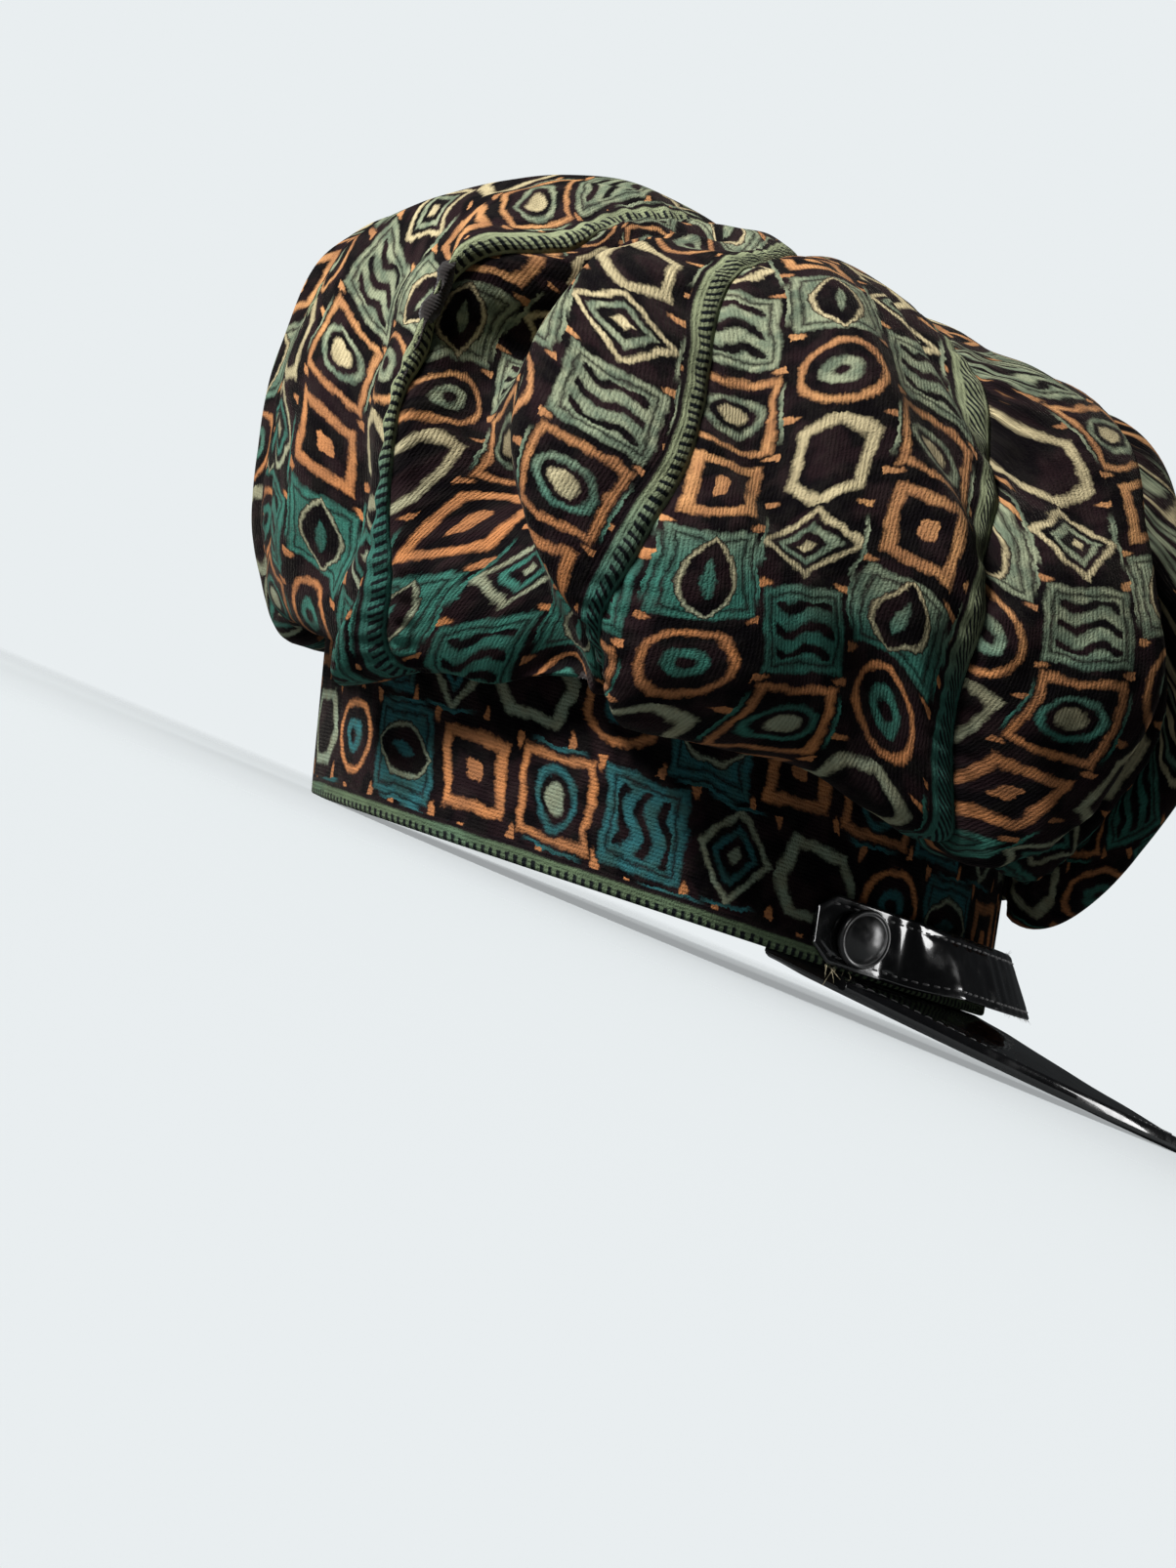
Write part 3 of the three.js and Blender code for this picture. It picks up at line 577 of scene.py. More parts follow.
def inks(level, *steps, soft=0.5):
    """Which ink goes where: a Color Ramp over a distance, in mm, with slightly soft steps."""
    tree = level.tree
    node = tree.nodes.new("ShaderNodeValToRGB")
    ramp = node.color_ramp
    marks = [(0.0, steps[0][1])]
    for (_, before), (edge, after) in zip(steps, steps[1:]):
        marks += [(edge - soft, before), (edge + soft, after)]
    while len(ramp.elements) < len(marks):
        ramp.elements.new(0.5)
    for element, (position, ink) in zip(ramp.elements, marks):
        element.position = position / LEVELS
        element.color = ink
    feed(tree, node.inputs[0], level / LEVELS)
    return Field(tree, node.outputs["Color"])


def drawings_of(x, y):
    """All seven tiles, each drawn round the middle of its tile. Their numbers are in mm."""
    side = abs(x)
    rise = abs(y)
    block = (side * 0.9).larger(rise)
    ring = ((x * 0.96).square() + y.square()).root()
    oval = ((x * 0.80).square() + (y * 1.2).square()).root()
    leaf = side * 1.15 + y.square() / 12.0
    lozenge = side * 0.80 + rise * 0.94
    lobes = ring + (side - rise).square() / 16.0 - side * rise / 14.0
    wave = abs((y + (x * 0.55).sine() * 1.2).repeat_centred(5.8))
    hexagon = (side * 0.92).larger(rise * 0.74 + side * 0.36)
    filled = inks(block, (0, MAIN), (7.9, GROUND), (8.6, MAIN), (10.2, GROUND))
    thick_frame = inks(block, (0, GROUND), (6.3, ACCENT), (8.8, GROUND))
    thin_frame = inks(block, (0, GROUND), (8.3, ACCENT), (10.0, GROUND))
    leaf_inks = inks(leaf, (0, MAIN), (1.7, GROUND), (6.8, CREAM), (8.1, GROUND))
    oval_inks = inks(oval, (0, CREAM), (3.2, GROUND), (5.2, MAIN), (6.7, GROUND))
    return [
        inks(ring, (0, GROUND), (1.8, MAIN), (4.2, GROUND), (7.8, ACCENT), (9.5, GROUND)),
        leaf.inside(8.8).blend(filled, leaf_inks),
        lobes.inside(2.6).blend(thick_frame, ACCENT),
        oval.inside(7.5).blend(thin_frame, oval_inks),
        block.inside(7.0).blend(filled, inks(wave, (0, GROUND), (1.35, MAIN))),
        inks(lozenge, (0, CREAM), (1.8, GROUND), (4.6, MAIN), (6.5, GROUND), (8.5, CREAM),
             (10.3, GROUND)),
        inks(hexagon, (0, GROUND), (6.6, CREAM), (8.9, GROUND)),
    ]


def tiles(x, y, pick):
    """The tile that pick names, with short bars beside it and dashes at its corners."""
    tree = x.tree
    total = (0, 0, 0)
    for k, drawing in enumerate(drawings_of(x, y)):
        node = tree.nodes.new("ShaderNodeVectorMath")
        node.operation = "MULTIPLY_ADD"
        here = abs(pick - float(k)).inside(0.5, 0.01)
        for entry, value in zip(node.inputs, (drawing, here, total)):
            feed(tree, entry, value)
        total = Field(tree, node.outputs[0])
    beside = (x + TILE_WIDE / 2).repeat_centred(TILE_WIDE)
    below = (y + TILE_HIGH / 2).repeat_centred(TILE_HIGH)
    dash = ((beside / 3.4).square() + (below / 0.95).square()).root()
    bar = abs(beside).larger(abs(y) / 7.0)
    total = (bar.inside(0.95, 0.3) * pick.repeat(2.0)).blend(total, MAIN)
    return dash.inside(1.0, 0.25).blend(total, ACCENT)


# %% The printed velvet
STRIPE_GAP = 1.2
COLUMN_SHIFT = 8.5
RIB_PITCH = 2.3


def printed_velvet():
    """The flat cloth's u runs away from the ribbed stripe and v along it, both in mm. Attribute
    tone turns the main ink from blue-green, at 0, through teal to sage, at 1, and the other inks
    lighter as well: partly the print's own change of colour, partly painted light from above on
    the crown's top."""
    material, tree, shader = new_material(
        "printed_velvet", Roughness=0.9, Specular_IOR_Level=0.05, Sheen_Weight=0.08,
        Sheen_Roughness=0.30, Sheen_Tint="#b9b1a4")
    flat = cloth_place(tree)
    u, v, _ = flat.split()
    drift = flat.cloud(17.0, 1.0, "Color").split()
    sway = flat.cloud(4.2, 1.0, "Color").split()
    fuzz = flat.cloud(0.9, 2.0, "Color").split()
    hairs = joined(u / 0.45, v / 2.0).cloud(1.0, 1.0, "Color").split()

    def wobble(k, hair):
        """How far the lines stray, in mm, along one of the cloth's two ways."""
        parts = ((drift, 5.0), (sway, 2.0), (fuzz, 1.3), (hairs, hair))
        first, second, third, fourth = ((noise[k] - 0.5) * reach for noise, reach in parts)
        return first + second + third + fourth

    across = u + wobble(0, 0.35) - STRIPE_WIDE - STRIPE_GAP
    column = (across / TILE_WIDE).floor()
    shifted = v + wobble(1, 0.6) + column * COLUMN_SHIFT
    row = (shifted / TILE_HIGH).floor()
    x = across.repeat(TILE_WIDE) - TILE_WIDE / 2
    y = shifted.repeat(TILE_HIGH) - TILE_HIGH / 2
    main_share, accent_share, cream_share = tiles(
        x, y, (column * 3.0 + row).repeat(TILE_KINDS)).split()

    tone = cloth_tone(tree) + (flat.cloud(40.0, 1.0) - 0.5) * 0.4
    patch = flat.cloud(5.0, 3.0).between(0.34, 0.66)
    brushed = flat.cloud(16.0).between(0.35, 0.65)

    def patchy(colour, share, dark):
        return (patch * share).blend(colour, dark)

    # Higher tone gives lighter, sager inks: partly the print's own colour, partly painted light
    # from above
    teal = tone.between(0.05, 0.25).blend("#2c5f63", "#397163")
    main = patchy(tone.between(0.40, 0.86).blend(teal, "#8d9378"), 0.6, "#28443c")
    accent = tone.between(0.3, 0.95).blend("#b8794a", "#bd8c5c")
    accent = patchy((brushed * 0.6).blend(accent, "#a5714d"), 0.5, "#85583a")
    cream = patchy(tone.between(0.1, 0.8).blend("#83907b", "#bcae88"), 0.4, "#776c50")
    ground = flat.cloud(11.0).between(0.40, 0.56).blend("#1d1113", "#050304")
    colour = main_share.blend(ground, main)
    colour = accent_share.blend(colour, accent)
    colour = cream_share.blend(colour, cream)

    edge_u = u + (drift[2] - 0.5) * 0.9 + (fuzz[1] - 0.5) * 0.5
    along = v + (drift[0] - 0.5) * 2.0 + (fuzz[0] - 0.5) * 0.9
    ribs = along.repeat(RIB_PITCH).inside(1.1, 0.3)
    ribbed = ribs * edge_u.between(0.7, 1.2) * (edge_u + (sway[2] - 0.5) * 2.0).inside(4.4)
    hem = tone.between(0.0, 0.25).blend("#5a6a50", "#35655a")
    green = patchy(tone.between(0.35, 0.75).blend(hem, "#8a9170"), 0.25, "#26382f")
    stripe = ribbed.blend(green, "#13181a")
    stripe = edge_u.between(5.9, 6.5).blend(stripe, "#150e10")
    colour = edge_u.inside(STRIPE_WIDE + 0.4).blend(colour, stripe)

    wale = (u * TURN + (fuzz[2] - 0.5) * 2.0).sine() * 0.5 + 0.5
    pile = flat.cloud(0.45)
    rubbed = (hairs[2] * 0.6 + patch * 0.4).between(0.35, 0.75)
    worn = (wale * 0.13 + pile * 0.30 + brushed * 0.16).blend(colour, "#070508")
    worn = (rubbed * 0.008).blend(worn, "#a39c88")
    feed(tree, shader.inputs["Base Color"], worn)
    relief(tree, shader, (wale, 0.08), (pile, 0.36), (flat.cloud(5.0), 0.6))
    return material


def mottled(name, light, dark, size, detail, low=0.3, high=0.7, **settings):
    """A material of two shades, the darker one in patches of about that size in mm."""
    material, tree, shader = new_material(name, **settings)
    place = object_place(tree)
    shade = place.cloud(size, detail).between(low, high)
    feed(tree, shader.inputs["Base Color"], shade.blend(light, dark))
    return material, tree, shader, place


def plain_cloth(name, light, dark, rib):
    """Plain woven cloth: two shades and fine ribs across."""
    material, tree, shader, place = mottled(
        name, light, dark, 9.0, 3.0, Roughness=0.92, Specular_IOR_Level=0.2, Sheen_Weight=0.15)
    ribs = (place.split()[2] * (TURN / rib)).sine() * 0.5 + 0.5
    relief(tree, shader, (ribs, 0.15), (place.cloud(0.5), 0.12))
    return material


velvet = printed_velvet()
lining = plain_cloth("lining", "#1b1614", "#110d0c", 0.9)
tape = plain_cloth("sweatband_tape", "#1a1614", "#0d0b0a", 1.1)
print("velvet:", len(velvet.node_tree.nodes), "nodes")

# %% [markdown]
# Patent, its brown back, the buttons and the threads. Patent is cloth or leather under a thick
# glossy coat, so its shader has a black base and a clear coat, with shallow creases and a few dull
# scuffs that break up the reflections.

# %% Patent, its back, buttons and threads
def patent_leather():
    material, tree, shader = new_material(
        "patent", Base_Color="#070708", Specular_IOR_Level=0.5, Coat_Weight=0.8,
        Coat_Roughness=0.05)
    place = object_place(tree)
    scuffs = place.cloud(6.0, 6.0).between(0.45, 0.75, 0.14, 0.34)
    feed(tree, shader.inputs["Roughness"], scuffs)
    relief(tree, shader, (place.cloud(9.0, 1.0), 0.22), (place.cloud(1.2), 0.02))
    return material


def raw_back(name, light, dark, grain):
    """The uncoated side of the patent: matte fibres, with lighter and darker patches."""
    material, tree, shader, place = mottled(
        name, light, dark, grain, 5.0, Roughness=0.95, Specular_IOR_Level=0.15)
    relief(tree, shader, (place.cloud(0.7, 3.0), 0.2))
    return material


def glossy_button():
    material, tree, shader = new_material(
        "button", Base_Color="#09090a", Specular_IOR_Level=0.4, Coat_Weight=0.2,
        Coat_Roughness=0.16)
    place = object_place(tree)
    dulled = place.cloud(2.5, 5.0).between(0.35, 0.75, 0.28, 0.5)
    feed(tree, shader.inputs["Roughness"], dulled)
    relief(tree, shader, (place.cloud(3.0), 0.05))
    return material


def thread(name, light, dark):
    """Twisted thread: fine patches of shade."""
    return mottled(name, light, dark, 0.6, 2.0, 0.35, 0.65, Roughness=0.6, Sheen_Weight=0.2)[0]


patent = patent_leather()
peak_lining = raw_back("peak_underside", "#33261f", "#1e1613", 8.0)
strap_back = raw_back("strap_back", "#9a5f38", "#5e3722", 5.0)
button_black = glossy_button()
black_thread = thread("black_thread", "#1c1b1c", "#0c0c0d")
cream_thread = thread("cream_thread", "#cdbf9c", "#8f8467")
pale_thread = thread("pale_thread", "#b4b2ab", "#77746c")

# %% [markdown]
# The eight crown panels. Each panel is a grid between two seams: columns from seam to seam, closer
# together beside them, and rows from the band to the top. The sewn edge of a panel rolls inward, so
# two neighbours make a narrow groove, and the thread's pull puckers the cloth beside it. The outer
# grid is copied inward by the cloth's thickness, and the two are closed round their rim.

# %% The crown panels
PANEL_COLUMNS = 60
PANEL_ROWS = 190
VELVET_WALL = 1.7
EDGE_ROLL = 1.5
EDGE_ROLL_WIDTH = 1.5
PUCKER = 0.45
PUCKER_PITCH = 8.5
CREASE = 0.9
TOP_EYE = 0.9
EASED_ROWS = 22
EVEN_SHARE = 0.45
SEAM_LENGTH = 300
STITCH_PULL_WIDTH = 4
NARROW_PANEL = 45
GATHERED_SHARE = 0.13
GATHERS_ROUND = 26
GATHER_DEPTH = 0.8
CREASE_FREE_WIDTH = 7
PRINT_STEP = 37.0
TONE_LOW = 0.3
TONE_START = 0.34
TONE_END = 0.60


def walled(outer, inner):
    """Points and faces of a closed sheet: the outer grid, the inner one turned round, and a rim.
    Also says which faces are inside: 0 for the outer face and the rim, 1 for the inner face."""
    columns, rows = outer.shape[:2]
    count = columns * rows
    front = quads(columns, rows)
    at = np.arange(count).reshape(columns, rows)
    rim = np.concatenate([at[:-1, 0], at[-1, :-1], at[:0:-1, -1], at[0, :0:-1]])
    after = np.roll(rim, -1)
    sides = np.stack([rim, rim + count, after + count, after], axis=-1)
    faces = np.concatenate([front, front[:, ::-1] + count, sides])
    inside = np.repeat([0, 1, 0], [len(front), len(front), len(sides)])
    points = np.concatenate([outer.reshape(-1, 3), inner.reshape(-1, 3)])
    return points, faces.tolist(), inside


def evened(lengths):
    """Lengths that change smoothly from column to column: a cubic fitted across each row."""
    share = np.linspace(-1, 1, len(lengths))
    basis, _ = np.linalg.qr(np.stack([share ** k for k in range(4)], axis=-1))
    return basis @ (basis.T @ lengths)


def eased(lengths):
    """Lengths that change slowly from row to row: each is a weighted mean of the rows near it."""
    row = np.arange(lengths.shape[1])
    weight = bump(row[:, None] - row, EASED_ROWS)
    return lengths @ (weight / weight.sum(axis=0))


def panel_grid(k):
    """Angle and share of every point of panel k, from its seam to the next."""
    t = np.linspace(0, 1, PANEL_COLUMNS + 1)[:, None]
    share = EVEN_SHARE * t + (1 - EVEN_SHARE) * (0.5 - 0.5 * np.cos(math.pi * t))
    last = 1 - TOP_EYE / (PROFILE_STEPS * TOP_RING * HEAD_WIDTH / 2)
    s = np.linspace(0, last, PANEL_ROWS + 1)[None, :]
    start = route_angle(SEAMS[k], s)
    end = route_angle(SEAMS[(k + 1) % len(SEAMS)], s) + (360 if k == len(SEAMS) - 1 else 0)
    return np.radians(start + (end - start) * share), s + 0 * share


def seam_wave(k, s):
    """The pull of seam k's stitches: an uneven wave up the seam, the same on both its sides."""
    way_up = s * SEAM_LENGTH
    uneven = ripple(way_up, 0 * s, 6, 40, 120, 50 + k % len(SEAMS))
    return np.sin(TURN * way_up / PUCKER_PITCH + 2.5 * uneven)


def crown_panel(k):
    """Panel k's outer grid, with its rolled and puckered edges and its soft creases."""
    angle, s = panel_grid(k)
    grid = folded_crown(angle, s)
    out = normals_of(grid)
    from_start = lengths_along(grid, 0)
    from_end = from_start[-1:] - from_start
    from_seam = np.minimum(from_start, from_end)
    up = evened(lengths_along(grid, 1))
    room = clamp(from_start[-1:] / NARROW_PANEL, 0, 1)
    pull = 0
    for seam, away in ((k, from_start), (k + 1, from_end)):
        pull = pull + seam_wave(seam, s) * bump(away - STITCH_PULL_WIDTH, STITCH_PULL_WIDTH)
    gathers = np.sin(angle * GATHERS_ROUND + 1.5 * np.sin(angle * 5))
    gathers = gathers * (1 - smooth(s / GATHERED_SHARE))
    creases = ripple(from_start, up * 0.55, 14, 14, 46, 20 + k)
    creases = creases * (1 - bump(from_seam, CREASE_FREE_WIDTH))
    move = room * (PUCKER * pull + CREASE * creases + GATHER_DEPTH * gathers)
    move -= EDGE_ROLL * clamp(room * 2, 0, 1) * bump(from_seam, EDGE_ROLL_WIDTH)
    grid = clear_of_band(grid + out * move[..., None])
    inner = grid - normals_of(grid) * VELVET_WALL
    cloth = np.stack([eased(from_end), up - PRINT_STEP * k], axis=-1)
    # Tone rises up the crown: lighter, sager inks at the top, partly print, partly painted light
    # from above
    tone = TONE_LOW + (1 - TONE_LOW) * smooth((s - TONE_START) / (TONE_END - TONE_START))
    return grid, inner, cloth, tone


def tone_of(piece, tone):
    """Keeps the tone of the inks at each point as an attribute of the mesh: partly the print's own
    colour, partly painted light from above.
    """
    layer = piece.data.attributes.new("tone", "FLOAT", "POINT")
    layer.data.foreach_set("value", tone.astype(np.float32).ravel())


for number in range(len(SEAMS)):
    outer, inner, cloth, tone = crown_panel(number)
    points, faces, inside = walled(on_table(outer), on_table(inner))
    both_faces = np.tile(cloth.reshape(-1, 2), (2, 1))
    panel = new_piece(f"crown_velvet_{number + 1}", points, faces, [velvet, lining],
                      inside, both_faces)
    tone_of(panel, np.tile(tone.ravel(), 2))
    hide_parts(f"crown_panel_{number + 1}")

# %% [markdown]
# Where the eight points of the panels meet, a few turns of thread hold them together. It is a small
# low knot: a half circle turned round the crown's top.

# %% The knot at the top
KNOT_RADIUS = 2.2
KNOT_RISE = 1.1
KNOT_SUNK = 1.2
KNOT_SEAT = 0.8


def turned_piece(name, profile, sides, start, axis, material):
    """A profile of (radius, height) pairs turned about an axis that runs from start. Its first and
    last points lie on the axis, where one vertex closes each pole."""
    angle = angles_round(sides)
    radius, height = np.array(profile[1:-1], float).T
    grid = np.stack(np.broadcast_arrays(
        radius * np.cos(angle), radius * np.sin(angle), height), axis=-1)
    poles = np.array([[0, 0, profile[0][1]], [0, 0, profile[-1][1]]], float)
    tilt = unit(axis)
    helper = unit(np.cross([0.0, 0.0, 1.0] if abs(tilt[2]) < 0.9 else [1.0, 0.0, 0.0], tilt))
    axes = np.stack([helper, np.cross(tilt, helper), tilt])
    points = np.concatenate([grid.reshape(-1, 3), poles]) @ axes + start
    rows = len(radius)
    low, high = len(points) - 2, len(points) - 1
    first = np.arange(sides) * rows
    after = np.roll(first, -1)
    faces = quads(sides, rows, columns_join=True).tolist()
    faces += [[int(b), int(a), low] for a, b in zip(first, after)]
    faces += [[int(a), int(b), high] for a, b in zip(first + rows - 1, after + rows - 1)]
    return new_piece(name, points, faces, [material])


arc = np.linspace(0, math.pi / 2, 9)
dome = [(0.0, -KNOT_SUNK), (KNOT_SUNK, -KNOT_SUNK),
        *((KNOT_RADIUS * math.cos(a), KNOT_RISE * math.sin(a)) for a in arc[:-1]),
        (0.0, KNOT_RISE)]
apex = on_table(smooth_crown(np.array(0.0), np.array(1.0)))
table_up = np.array([-math.sin(REST_TILT), 0, math.cos(REST_TILT)])
knot = turned_piece("crown_knot", dome, 32, apex - KNOT_SEAT * table_up, table_up, black_thread)

# %% [markdown]
# The band. It is one ring of the same velvet, cut across the cloth, so that the print's columns run
# round the head and the ribbed stripe lies along the rim. Its section is a flat loop with a round,
# folded lower edge, carried round the ellipse. The cloth isn't quite even: it waves a little, and
# is crushed into upright creases beside the strap's buttons.

# %% The band
BAND_STEPS = 360
BAND_ROWS = 44
HEM_TURN = 1.0
HEM_TAKES = 1.8
CRUSHED_AT = 46
CRUSHED_WIDTH = 13
LONG_WAVE = 0.45
CRUSHED_WAVE = 0.55
BAND_INSET = 0.35
BAND_OUTSET = 0.3


def crushed(angle):
    """How far the band's cloth is pressed into creases: most just in front of each button."""
    degrees = turn_between(np.degrees(angle), 0)
    return bump(np.abs(degrees) - CRUSHED_AT, CRUSHED_WIDTH)


def band_surface(angle, z, outward):
    """The band's outline, plus long waves, and fine upright creases where the cloth is crushed."""
    way_round = angle * HEAD_LENGTH / 2
    long_wave = ripple(way_round, z * 0.5, 9, 34, 90, 3)
    creases = ripple(way_round, z * 0.18, 10, 4.5, 9, 5) * crushed(angle) * smooth((z - 6) / 14)
    wave = LONG_WAVE * long_wave + CRUSHED_WAVE * creases - BAND_INSET
    return band_point(angle, z, outward + np.minimum(wave, BAND_OUTSET))


def band_loop():
    """The section: up the outer face from the hem, over the top and down the inner face, as pairs
    of height and distance outward. Also how many of them are outside."""
    turn = np.linspace(-math.pi / 2, 0, 6)
    hem = HEM_TURN * np.stack([1 + np.sin(turn), np.cos(turn) - 1], axis=-1)
    rise = np.linspace([HEM_TURN, 0], [BAND_HEIGHT, 0], BAND_ROWS)[1:]
    outside = np.concatenate([hem, rise])
    inside = outside[::-1] * [1, -1] - [0, CLOTH]
    return np.concatenate([outside, inside]), len(outside)


section, outside_rows = band_loop()
band_grid = carried(band_surface, angles_round(BAND_STEPS), section)
along_cloth = lengths_along(band_grid, 1)
round_cloth = way_along(band_grid[:, outside_rows // 2])[:, None]
band_cloth = np.stack(np.broadcast_arrays(along_cloth + HEM_TAKES, round_cloth), axis=-1)
rows_of_faces = np.tile(np.arange(len(section)), BAND_STEPS)
band = new_piece(
    "band_velvet", on_table(band_grid).reshape(-1, 3),
    quads(BAND_STEPS, len(section), columns_join=True, rows_join=True).tolist(),
    [velvet, lining], rows_of_faces >= outside_rows, band_cloth.reshape(-1, 2))
tone_of(band, np.zeros(band_grid.shape[:2]))
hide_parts("band")

# %% [markdown]
# The sweatband: a strip of dark tape inside the band. It waves in and out a little between its
# stitches. It is made like the band, as a thin loop carried round a slightly smaller ellipse.

# %% The sweatband
SWEATBAND_LOW = 0.8
SWEATBAND_HIGH = 30.8
SWEATBAND_OUT = -2.5
SWEATBAND_WALL = 1.0
SWEATBAND_STEPS = 240
SWEATBAND_ROWS = 14


def sweatband_surface(angle, z, outward):
    wave = 0.25 * ripple(angle * HEAD_LENGTH / 2, z * 0.6, 8, 12, 40, 9)
    return band_point(angle, z, outward + np.minimum(wave - 0.2, 0.0))


heights = np.linspace(SWEATBAND_LOW, SWEATBAND_HIGH, SWEATBAND_ROWS)
tape_loop = np.concatenate([
    np.stack([heights, np.full(SWEATBAND_ROWS, SWEATBAND_OUT)], axis=-1),
    np.stack([heights[::-1], np.full(SWEATBAND_ROWS, SWEATBAND_OUT - SWEATBAND_WALL)], axis=-1)])
tape_grid = carried(sweatband_surface, angles_round(SWEATBAND_STEPS), tape_loop)
tape_faces = quads(SWEATBAND_STEPS, len(tape_loop), columns_join=True, rows_join=True)
sweatband = new_piece(
    "sweatband_tape", on_table(tape_grid).reshape(-1, 3), tape_faces.tolist(), [tape])
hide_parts("sweatband")

# %% [markdown]
# The peak. It is a short stiff board, patent on top and dull brown cloth beneath, with a thick
# bound edge. Each section runs straight out from the band to the outline's curve: up over a round
# bead at the edge, back along the top, and out again below. The sections follow one another from
# one side of the band to the other, closer together at the ends where the outline turns fast.

# %% The peak
PEAK_REACH = 67
PEAK_DROP = 16
PEAK_THICKNESS = 2.4
PEAK_EDGE_THICKNESS = 3.8
PEAK_HALF_ANGLE = math.radians(60)
PEAK_FULLNESS = 2.2
PEAK_CORNER = 3 * PEAK_THICKNESS
PEAK_SECTIONS = 150
BINDING_WIDTH = 6.5
BINDING_STEP = 0.35
# One section's loop: angles on the bead's half circle, then shares of the board from its edge in
BEAD_TURN = np.linspace(-math.pi / 2, math.pi / 2, 13)
BOARD_MARKS = np.linspace(1, 0, 36)


def rim_outward(angle):
    """The direction straight out of the rim's ellipse."""
    x = np.cos(angle) / (HEAD_LENGTH / 2) ** 2
    y = np.sin(angle) / (HEAD_WIDTH / 2) ** 2
    return unit(np.stack([x, y, 0 * x], axis=-1))


def peak_outline(t):
    """The peak's edge seen from above: a full oval between its two corners."""
    corner = band_point(np.array(PEAK_HALF_ANGLE), np.array(0.0), -CLOTH)
    corner = corner + rim_outward(np.array(PEAK_HALF_ANGLE)) * PEAK_CORNER
    length = HEAD_LENGTH / 2 + PEAK_REACH - corner[0]
    share = t / PEAK_HALF_ANGLE * math.pi / 2
    power = 2 / PEAK_FULLNESS
    return np.stack([
        corner[0] + length * np.abs(np.cos(share)) ** power,
        corner[1] * np.sign(share) * np.abs(np.sin(share)) ** power], axis=-1)


def peak_sections(along, height_of):
    """Points of the peak for each section and each mark of its loop: how far out from the band,
    given the section's length, and how high above the middle of the board."""
    t = PEAK_HALF_ANGLE * np.sin(np.linspace(-math.pi / 2, math.pi / 2, PEAK_SECTIONS + 1))[:, None]
    root = band_point(t[:, 0], 0 * t[:, 0], -CLOTH)
    tip = peak_outline(t[:, 0])
    way = tip - root[:, :2]
    length = np.linalg.norm(way, axis=-1, keepdims=True)
    way = way / length
    full = smooth((length - PEAK_CORNER) / (2 * PEAK_EDGE_THICKNESS))
    edge = PEAK_THICKNESS + (PEAK_EDGE_THICKNESS - PEAK_THICKNESS) * full
    out = along(length, edge)
    fall = PEAK_DROP * out / (PEAK_REACH + CLOTH)
    z = -SEAT_GAP - PEAK_THICKNESS / 2 - fall + height_of(length, edge, out)
    return np.stack([root[:, :1] + way[:, :1] * out, root[:, 1:2] + way[:, 1:2] * out, z], axis=-1)


def peak_along(length, edge):
    bead = length - edge / 2
    neck = bead - edge * 0.45
    return np.concatenate([
        bead + np.cos(BEAD_TURN) * edge / 2, neck * BOARD_MARKS, neck * BOARD_MARKS[::-1]], axis=1)


def peak_height(length, edge, out):
    """The bead's circle, and the board's two faces, a little thicker under the binding."""
    bead = np.sin(BEAD_TURN) * edge / 2 + 0 * edge
    board = out[:, len(BEAD_TURN):]
    bound = smooth((board - (length - BINDING_WIDTH)) / 0.8) * BINDING_STEP
    half = PEAK_THICKNESS / 2 - BINDING_STEP * 0.5 + bound
    sign = np.where(np.arange(board.shape[1]) < len(BOARD_MARKS), 1.0, -1.0)
    wave = 0.25 * ripple(board, np.linspace(-90, 90, len(out))[:, None], 8, 18, 50, 31)
    board_height = half * sign + wave * smooth(board / 10) * (1 - bound)
    return np.concatenate([bead, board_height], axis=1)


def lofted(name, grid, materials, inside):
    """Loops of points joined into one closed body, with one flat face at each of its two ends."""
    sections, sides = grid.shape[:2]
    count = sections * sides
    faces = quads(sections, sides, rows_join=True).tolist()
    faces += [list(range(sides))[::-1], list(range(count - sides, count))]
    return new_piece(name, grid.reshape(-1, 3), faces, materials, np.append(inside, [0, 0]),
                     flat_ends=2)


peak_points = peak_sections(peak_along, peak_height)
marks = np.tile(np.arange(peak_points.shape[1]), PEAK_SECTIONS)
underside = marks >= len(BEAD_TURN) + len(BOARD_MARKS)
out_from_edge = np.linalg.norm(peak_points[:, :1, :2] - peak_points[:, :, :2], axis=-1)
beyond_binding = (out_from_edge[:-1] > BINDING_WIDTH).reshape(-1)
peak = lofted("peak_patent", on_table(peak_points), [patent, peak_lining],
              underside & beyond_binding)
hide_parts("peak")

# %% [markdown]
# The strap. It lies flat under its two buttons and bows out between them, its lower edge further
# than its upper one, so that a gap shows between it and the band. Its ends are cut to a blunt
# point. The section is a thin loop with round edges and a shallow dent along each stitch line. The
# patent is creased across where it bends.

# %% The strap
STRAP_WIDTH = 17
STRAP_THICKNESS = 1.8
STRAP_LIFT = 0.8
STRAP_BOW = 10
STRAP_UPPER_BOW = 0.2
TAB_LENGTH = 13
TAB_END_WIDTH = 9
TAB_CUT = 5
BUTTON_RADIUS = 7.4
BUTTON_HEIGHT = 5
BUTTON_ANGLE = math.radians(58)
STRAP_MIDDLE = STRAP_LIFT + STRAP_WIDTH / 2
STRAP_SECTIONS = 260
STRAP_MARKS = 27
STITCH_INSET = 2.2


def rim_way(angle):
    """How far along the rim each angle is from the middle of the front, in mm."""
    fine = np.linspace(-2, 2, 4001)
    line = band_point(fine, 0 * fine, 0 * fine)
    way = way_along(line)
    return np.interp(angle, fine, way - way[len(fine) // 2])


def rim_angle(way):
    """The angle at a way along the rim from the middle of the front."""
    fine = np.linspace(-2, 2, 4001)
    return np.interp(way, rim_way(fine), fine)


BUTTON_WAY = float(rim_way(BUTTON_ANGLE))
TAB_WAY = BUTTON_WAY + TAB_LENGTH


def strap_bow(way):
    inside = BUTTON_WAY - np.abs(way) - BUTTON_RADIUS
    return STRAP_BOW * smooth(inside / (3 * BUTTON_RADIUS))


